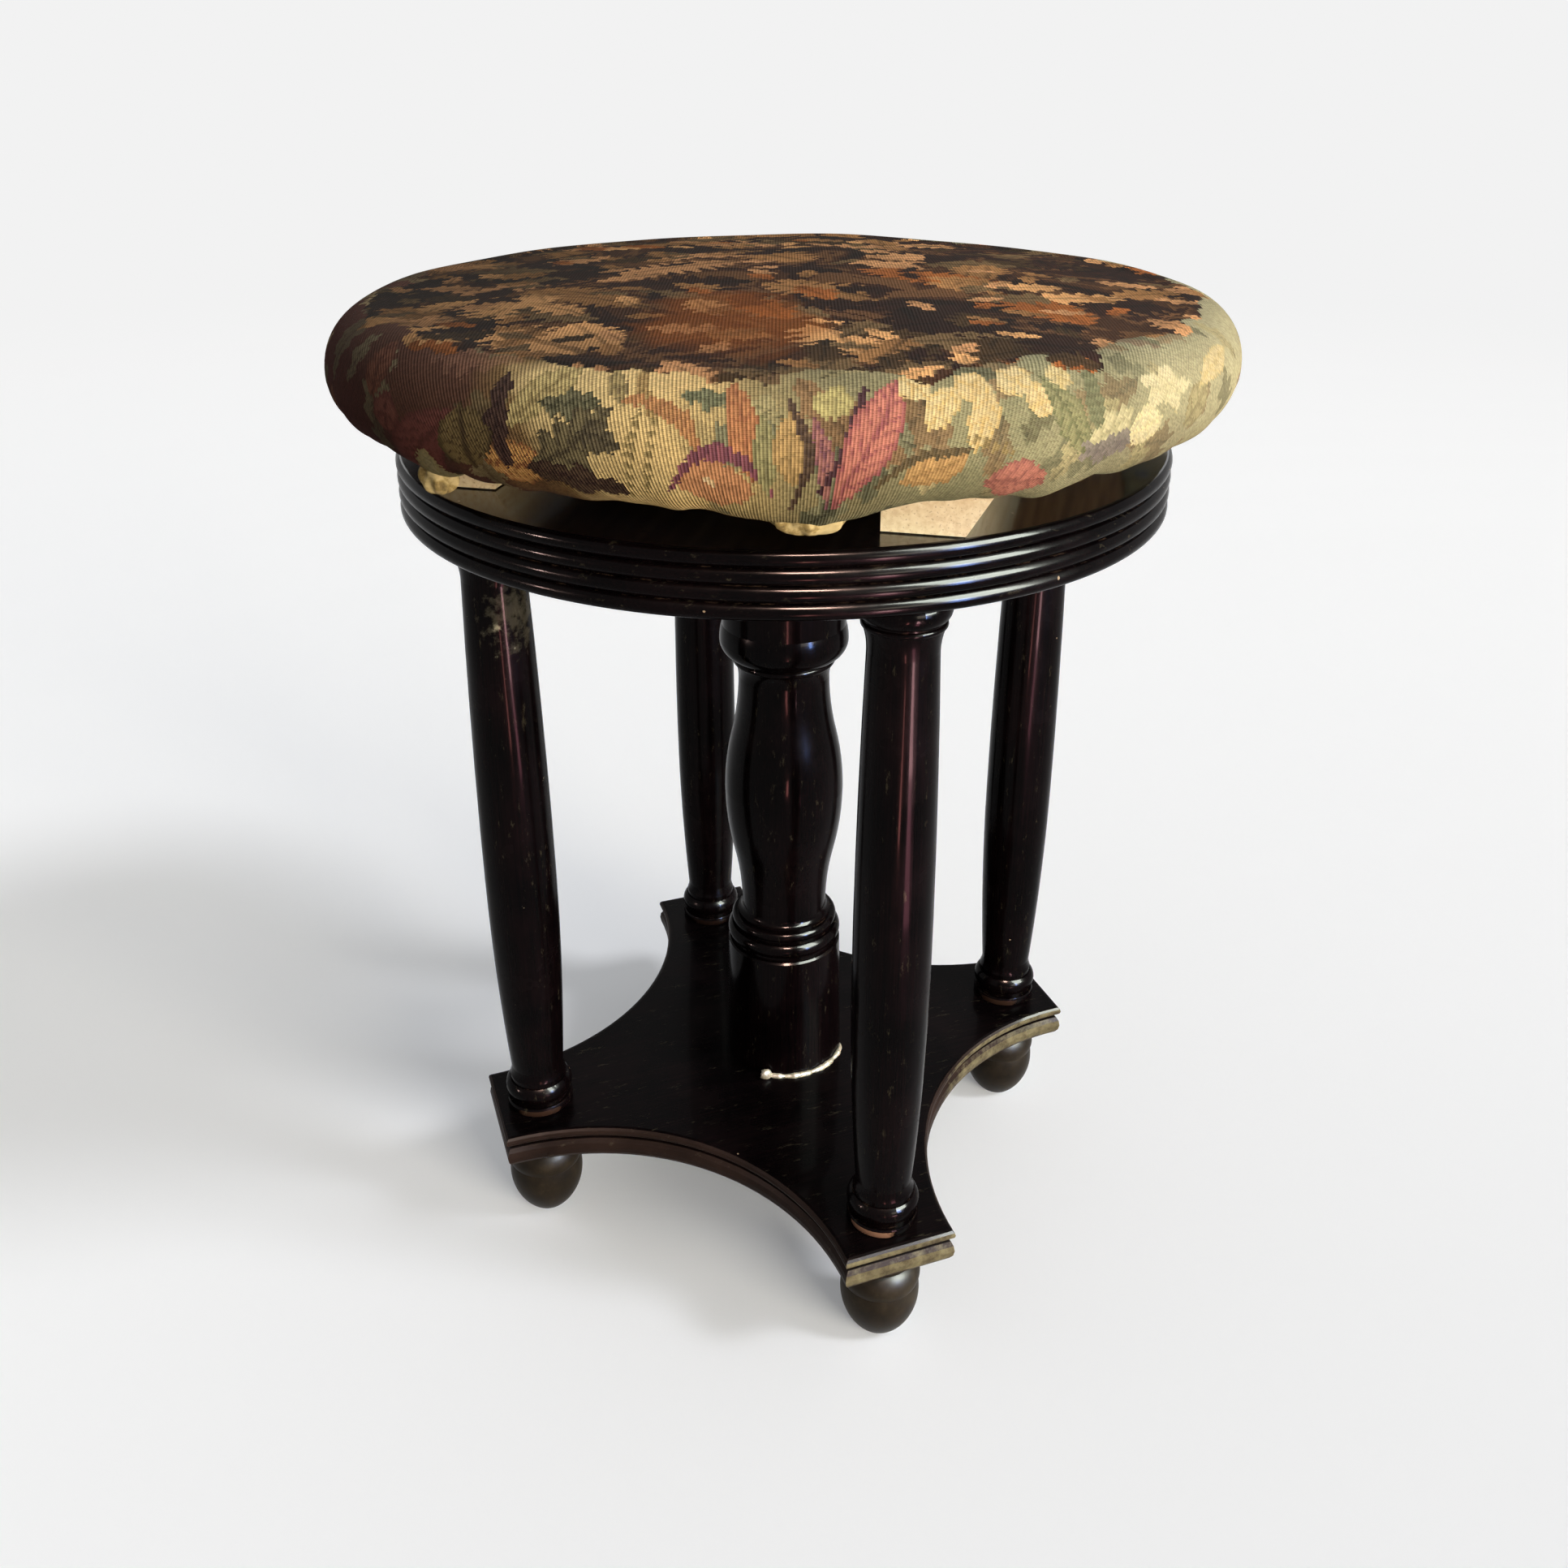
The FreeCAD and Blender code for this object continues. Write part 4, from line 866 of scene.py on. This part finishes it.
def calico():
    plan = stuffing
    material, add = newMaterial("unbleachedCalico")
    place = add("TexCoord").outputs["Object"]
    slub = add("TexNoise", {"Vector": place, "Scale": 1 / plan["slubs"], "Detail": 4.0})
    colour = add("ValToRGB", plan["tones"], (slub,))
    weave = add("TexWave", "DIAGONAL", {"Vector": place, "Scale": 1 / plan["weave"]})
    relief = add("Bump", {"Strength": 0.3, "Distance": 0.2 * mm, "Height": weave})
    shader = add("BsdfPrincipled", {
        "Base Color": colour, "Roughness": 0.9, "Sheen Weight": 0.1, "Normal": relief})
    return finished(material, shader)


# The stuffing under the cover: the same lie, drawn in, turned under the board's edge and flat on the board
def buildStuffing(material):
    plan = stuffing
    columns = plan["columns"]
    boardLow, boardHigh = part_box("seat_board")
    edge, top = boardHigh.x + plan["offBoard"], boardHigh.z + plan["offBoard"]
    profile, along = coverProfile()
    farthest, narrowest = plan["turnsUnder"]
    kept = [i for i in range(0, len(profile), 2) if along[i] < farthest or profile[i, 0] > narrowest]
    rings = list(coverSurface(profile, along, columns, cover["thickness"] + plan["underCover"])[kept])
    direction = roundTheSeat(columns)[1]
    height = np.minimum(rings[-1][:, 2], boardLow.z + plan["tucked"])
    rings.append(np.column_stack([edge * direction, height]))
    for radius in (edge, edge * 0.6, cover["middle"] * mm):
        rings.append(np.column_stack([radius * direction, np.full(columns, top)]))
    faces = skinFaces(len(rings), columns, flip=True)
    piece = meshPiece("seatStuffing", np.concatenate(rings), faces, material, "seat")
    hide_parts("seat_padding")


# Corners of the cover's cloth left over by the tacking: gathered lumps that hang below the hem. They are the
# same thick cotton, its cream side out, grubby in the folds.
corners = {
    "tones": [(0.3, "#6f6040"), (0.44, "#a8925f"), (0.52, "#cdb988"), (0.75, "#d9c798")],
    "grime": 5 * mm,
    "weave": 3.4 * mm,
    "columns": 48,
    "rings": 18,
    # angle round from the camera, distance from the axis, height, half width, half depth, half height, folds
    "lumps": [(-46.0, 174.0, 418.0, 6.2, 5.6, 7.8, 5), (2.8, 168.6, 418.0, 11.0, 6.0, 7.6, 7)],
}


def gatheredCloth():
    plan = corners
    material, add = newMaterial("creamCottonGathered")
    place = add("TexCoord").outputs["Object"]
    mottle = add("TexNoise", {"Vector": place, "Scale": 1 / plan["grime"], "Detail": 5.0, "Roughness": 0.6})
    colour = add("ValToRGB", plan["tones"], (mottle,))
    weave = add("TexWave", "Z", {"Vector": place, "Scale": 1 / plan["weave"], "Distortion": 1.0})
    relief = add("Bump", {"Strength": 0.35, "Distance": 0.2 * mm, "Height": weave})
    shader = add("BsdfPrincipled", {
        "Base Color": colour, "Roughness": 0.95, "Specular IOR Level": 0.05, "Normal": relief})
    return finished(material, shader)


def buildCorners(material):
    plan = corners
    rings, columns = plan["rings"], plan["columns"]
    points, faces = [], []
    for angle, far, height, wide, deep, tall, folds in plan["lumps"]:
        faces += skinFaces(rings, columns, start=len(points), flip=True)
        for j in range(rings):
            polar = math.pi * (j + 0.35) / (rings - 0.3)
            for i in range(columns):
                around = math.tau * i / columns
                fold = 1 + 0.13 * math.sin(folds * around + 2.2 * math.cos(polar) + angle)
                fold += 0.06 * math.sin((folds * 2 - 1) * around - 3.0 * math.cos(polar))
                sag = 1.12 - 0.12 * math.cos(polar)
                reach = math.sin(polar) ** 0.8 * fold * sag
                points.append(outAt(angle) * (far + deep * reach * math.cos(around)) * mm
                              + outAt(angle + 90) * (wide * reach * math.sin(around)) * mm
                              + up * ((height + tall * math.cos(polar)) * mm))
    piece = meshPiece("gatheredCorners", points, faces, material, "seat")


# The lift screw: a rounded square thread, one start, right-handed, cut down to a plain stem at each end
screw = {
    "pitch": 5.0,
    "crest": 9.95,
    "root": 8.1,
    "land": 0.5,      # share of the pitch at full height
    "flank": 0.12,
    "tip": [(0.3, 0.0), (5.0, 0.0), (5.5, 0.5)],   # radius, and height above the lower end
    "hub": 7.0,       # radius within the flange
    "belowTop": 0.2,  # the stem ends this far below the spindle's top
    "runout": 0.3,    # above the washer, where the thread begins
    "segments": 56,
    "ringsPerTurn": 14,
}


def buildScrew(material):
    plan = screw
    segments, pitch = plan["segments"], plan["pitch"]
    low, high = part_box("spindle")
    bottom, top = low.z / mm, high.z / mm - plan["belowTop"]
    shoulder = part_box("stop_washer")[1].z / mm + plan["runout"]
    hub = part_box("spindle_flange")[0].z / mm
    rings = [[(radius, bottom + height)] * segments for radius, height in plan["tip"]]
    rings.append([(plan["tip"][-1][0], shoulder)] * segments)
    count = int((hub - shoulder) / pitch * plan["ringsPerTurn"])
    for step in range(count + 1):
        height = shoulder + (hub - shoulder) * step / count
        ring = []
        for i in range(segments):
            phase = (height / pitch - i / segments) % 1.0
            away = abs(phase - 0.5) * 2
            rise = min(1.0, max(0.0, (plan["land"] + plan["flank"] - away) / plan["flank"]))
            if step in (0, count):
                rise = 0.5
            ring.append((plan["root"] + (plan["crest"] - plan["root"]) * rise, height))
        rings.append(ring)
    rings += [[end] * segments for end in ((plan["hub"], hub), (plan["hub"], top), (plan["tip"][0][0], top))]
    points = []
    for ring in rings:
        for i, (radius, height) in enumerate(ring):
            angle = math.tau * i / segments
            points.append((radius * mm * math.cos(angle), radius * mm * math.sin(angle), height * mm))
    piece = meshPiece("liftScrew", points, skinFaces(len(rings), segments), material, "seat")
    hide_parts("spindle")


# Glue squeezed out round the plinth when the baluster was set again: a thin uneven bead and one crumb of old
# hide glue, amber cream, dried with a slight shine
glueBead = {
    "tones": [(0.3, "#8f8770"), (0.55, "#bdb6a2"), (0.8, "#d8d2c4")],
    "mottle": 3 * mm,
    "plinthRadius": 30.2 * mm,
    "from": -20.0,     # degrees round from the camera, to its right
    "to": 84.0,
    "thickness": 3.6 * mm,
    "steps": 90,
    "sides": 10,
    "crumbAt": -17.0,
    "crumbSize": 6.0 * mm,
    "crumbRings": 7,
    "crumbSides": 12,
}


def hideGlue():
    plan = glueBead
    material, add = newMaterial("driedHideGlue")
    place = add("TexCoord").outputs["Object"]
    mottle = add("TexNoise", {"Vector": place, "Scale": 1 / plan["mottle"], "Detail": 4.0})
    colour = add("ValToRGB", plan["tones"], (mottle,))
    relief = add("Bump", {"Strength": 0.5, "Distance": 0.3 * mm, "Height": mottle})
    shader = add("BsdfPrincipled", {
        "Base Color": colour, "Roughness": 0.42, "Subsurface Weight": 0.1, "Subsurface Scale": 1 * mm,
        "Normal": relief})
    return finished(material, shader)


def buildGlueBead(material):
    plan = glueBead
    points = []
    for step in range(plan["steps"] + 1):
        share = step / plan["steps"]
        out = outAt(plan["from"] + (plan["to"] - plan["from"]) * share)
        taper = min(1.0, share * 9, (1 - share) * 6) ** 0.5
        wobble = 0.8 + 0.14 * math.sin(share * 23) + 0.08 * math.sin(share * 47 + 1)
        wobble += 0.05 * math.sin(share * 91)
        half = plan["thickness"] * 0.5 * max(0.12, taper * wobble)
        centre = out * (plan["plinthRadius"] + half * 0.55) + up * (plateTop + half * 0.45)
        for k in range(plan["sides"]):
            angle = math.tau * k / plan["sides"]
            points.append(centre + out * half * math.cos(angle) + up * (half * 0.9 * math.sin(angle)))
    faces = skinFaces(plan["steps"] + 1, plan["sides"], flip=True)
    faces += skinFaces(plan["crumbRings"], plan["crumbSides"], start=len(points), flip=True)
    size = plan["crumbSize"] / 2
    centre = outAt(plan["crumbAt"]) * (plan["plinthRadius"] + size * 0.8) + up * (plateTop + size * 0.7)
    for j in range(plan["crumbRings"]):
        polar = math.pi * (j + 0.5) / plan["crumbRings"]
        for i in range(plan["crumbSides"]):
            angle = math.tau * i / plan["crumbSides"]
            lump = 1 + 0.16 * math.sin(3 * angle + j) + 0.12 * math.cos(5 * angle - 2 * j)
            reach = size * lump * math.sin(polar)
            points.append(centre + Vector((
                reach * math.cos(angle), reach * math.sin(angle) * 0.8, size * 0.95 * math.cos(polar))))
    piece = meshPiece("glueBead", points, faces, material, "base")


print("pieces")
buildStuffing(calico())
buildCover(verdureTapestry())
buildCorners(gatheredCloth())
buildScrew(turnedSteel)
buildGlueBead(hideGlue())

# Floor: pale and plain, part lit and part glowing, with the stool's shadow on it. Its paint evens out the
# fall of the key lamp's light, so that away from the shadow it shows one tone.
floorPlan = {
    "radius": 9.0,
    "corners": 96,
    "seen": "#f2f2f2",
    "glow": 0.2,             # share of the floor's own glow near the stool
    "fade": (1.3, 3.2),      # where it grows, and where it is all there is
    "bounce": "#7d776d",
    "skyLight": 1.08,        # what the open sky lays on the floor, in W/m2
    "skyTint": "#fffcf4",
}


# What sees the pale background: the camera, and mirror-like and clear surfaces
def seesBackdrop(add):
    path = add("LightPath").outputs
    either = add("Math", "MAXIMUM", (path["Is Camera Ray"], path["Is Glossy Ray"]))
    return add("Math", "MAXIMUM", (either, path["Is Transmission Ray"]))


# Lamps: a broad sun from the right for the floor's soft shadow and a low warm box to the right of the camera
# for the seat's side. The rest only show in the polish: strips low down in front draw the streaks on the
# columns, because upright turnings mirror what lies below the eye, and small boxes make the other glints.
lamps = {
    "target": Vector((0, 0, 0.28)),
    "sun": {"name": "sun", "turn": 74, "rise": 42, "far": 3.0, "spread": 12, "power": 1.35,
            "colour": "#fffaf2"},
    "key": {"name": "keyBox", "turn": 40, "rise": 11, "far": 1.9, "size": (1.1, 0.5), "power": 45,
            "colour": "#fff0d6"},
    "glints": [
        {"name": "reedBox", "turn": 56, "rise": 34, "far": 1.6, "size": (0.8, 1.2), "power": 800,
         "colour": "#e6eee2"},
        {"name": "beadBox", "turn": 8, "rise": 50, "far": 1.3, "size": (0.24, 0.24), "power": 140,
         "colour": "#ffd0bc"},
        {"name": "leftBox", "turn": -66, "rise": 8, "far": 1.5, "size": (0.04, 0.12), "power": 17,
         "colour": "#ffd8cc"},
        {"name": "windowBox", "turn": 46, "rise": 10, "far": 1.2, "size": (0.12, 0.5), "power": 66,
         "colour": "#7898e0"},
    ],
    # each from one place to another, right of the axis and towards the camera
    "strips": [
        {"name": "streakStrip", "from": (0.34, 0.68), "to": (0.62, 1.25), "width": 0.09, "power": 24,
         "colour": "#ffc0c4"},
        {"name": "lowStrip", "from": (0.22, 0.44), "to": (0.34, 0.68), "width": 0.07, "power": 1.8,
         "colour": "#ffa0b4"},
        {"name": "frontStrip", "from": (0.06, 0.62), "to": (0.12, 1.0), "width": 0.04, "power": 3.0,
         "colour": "#ff9a94"},
    ],
    "stripHeight": 0.01,
}


def lampAway(plan):
    lift = math.radians(plan["rise"])
    return outAt(plan["turn"]) * math.cos(lift) + up * math.sin(lift)


# The floor's paint: what it must be for one tone under the sun, the sky and the key lamp together
def floorPaint(add, place):
    key, sun = lamps["key"], lamps["sun"]
    away = lampAway(key)
    spot = lamps["target"] + away * key["far"]
    toLamp = add("VectorMath", "SUBTRACT", (tuple(spot), place))
    far = add("VectorMath", "LENGTH", (toLamp,)).outputs["Value"]
    facing = add("VectorMath", "DOT_PRODUCT", (toLamp, tuple(away))).outputs["Value"]
    facing = add("Math", "MAXIMUM", (facing, 0.0))
    fall = add("Math", "POWER", (far, -4.0))
    fall = add("Math", "MULTIPLY", (fall, facing))
    strength = key["power"] / math.pi * spot.z
    keyLight = add("VectorMath", "SCALE", (tuple(strength * c for c in linear(key["colour"])[:3]), fall))
    sunLight = sun["power"] * math.sin(math.radians(sun["rise"]))
    rest = tuple(sunLight * c + floorPlan["skyLight"] * k
                 for c, k in zip(linear(sun["colour"])[:3], linear(floorPlan["skyTint"])[:3]))
    total = add("VectorMath", "ADD", (keyLight, rest))
    return add("VectorMath", "DIVIDE", (tuple(math.pi * c for c in linear(floorPlan["seen"])[:3]), total))


def buildFloor():
    plan = floorPlan
    material, add = newMaterial("paleStudioFloor")
    place = add("TexCoord").outputs["Object"]
    far = add("VectorMath", "LENGTH", (place,)).outputs["Value"]
    far = add("MapRange", "SMOOTHSTEP", (far, *plan["fade"], plan["glow"]))
    seen = add("BsdfDiffuse", {"Color": floorPaint(add, place)})
    glow = add("Emission", {"Color": plan["seen"], "Strength": 1.0})
    near = add("MixShader", (far, seen, glow))
    bounce = add("BsdfDiffuse", {"Color": plan["bounce"]})
    finished(material, add("MixShader", (seesBackdrop(add), bounce, near)))
    angles = [math.tau * i / plan["corners"] for i in range(plan["corners"])]
    rim = [(plan["radius"] * math.cos(angle), plan["radius"] * math.sin(angle), 0) for angle in angles]
    mesh = bpy.data.meshes.new("studioFloor")
    mesh.from_pydata(rim, [], [tuple(range(plan["corners"]))])
    mesh.materials.append(material)
    placed("studioFloor", mesh)


def addLamp(plan, kind, size=None, polishOnly=False):
    data = bpy.data.lights.new(plan["name"], kind)
    data.energy = plan["power"]
    data.color = linear(plan["colour"])[:3]
    if size:
        data.shape = "RECTANGLE"
        data.size, data.size_y = size
    lamp = placed(plan["name"], data)
    lamp.visible_camera = False
    lamp.visible_diffuse = not polishOnly
    return lamp


def aimLamp(lamp, plan):
    away = lampAway(plan)
    lamp.location = lamps["target"] + away * plan["far"]
    lamp.rotation_euler = away.to_track_quat("Z", "Y").to_euler()


def buildLights():
    sun = addLamp(lamps["sun"], "SUN")
    sun.data.angle = math.radians(lamps["sun"]["spread"])
    aimLamp(sun, lamps["sun"])
    aimLamp(addLamp(lamps["key"], "AREA", lamps["key"]["size"]), lamps["key"])
    for plan in lamps["glints"]:
        aimLamp(addLamp(plan, "AREA", plan["size"], polishOnly=True), plan)
    for plan in lamps["strips"]:
        start, end = (viewRight * right + viewFront * front for right, front in (plan["from"], plan["to"]))
        along = end - start
        strip = addLamp(plan, "AREA", (plan["width"], along.length), polishOnly=True)
        strip.location = (start + end) / 2 + up * lamps["stripHeight"]
        strip.rotation_euler = (math.pi, 0, math.atan2(-along.x, along.y))


# The world: the camera sees the pale backdrop; the object gets a soft sky, dim near the horizon
sky = {
    "tones": [(0.0, "#5a5956"), (0.3, "#898782"), (0.8, "#e1ded7"), (1.0, "#f4f1e8")],
    "strength": 0.63,
}


def buildWorld():
    world = bpy.data.worlds.new("studio")
    bpy.context.scene.world = world
    add = freshNodes(world, "ShaderNodeOutputWorld")
    toward = add("TexCoord").outputs["Generated"]
    height = add("SeparateXYZ", (toward,)).outputs["Z"]
    tone = add("ValToRGB", sky["tones"], (height,))
    soft = add("Background", {"Color": tone, "Strength": sky["strength"]})
    seen = add("Background", {"Color": floorPlan["seen"], "Strength": 1.0})
    finished(world, add("MixShader", (seesBackdrop(add), soft, seen)))


def buildCamera():
    plan = cameraPlan
    data = bpy.data.cameras.new("photographCamera")
    data.sensor_width = plan["sensor"]
    data.lens = plan["lens"]
    data.shift_y = plan["shiftY"]
    data.clip_start, data.clip_end = plan["clip"]
    camera = placed("photographCamera", data)
    camera.location = viewFront * plan["distance"] + up * plan["height"]
    camera.rotation_euler = (math.radians(90 - plan["tilt"]), 0, viewTurn)
    bpy.context.scene.camera = camera


print("floor, lights and camera")
buildFloor()
buildLights()
buildWorld()
buildCamera()
bpy.context.scene.view_settings.view_transform = "Standard"
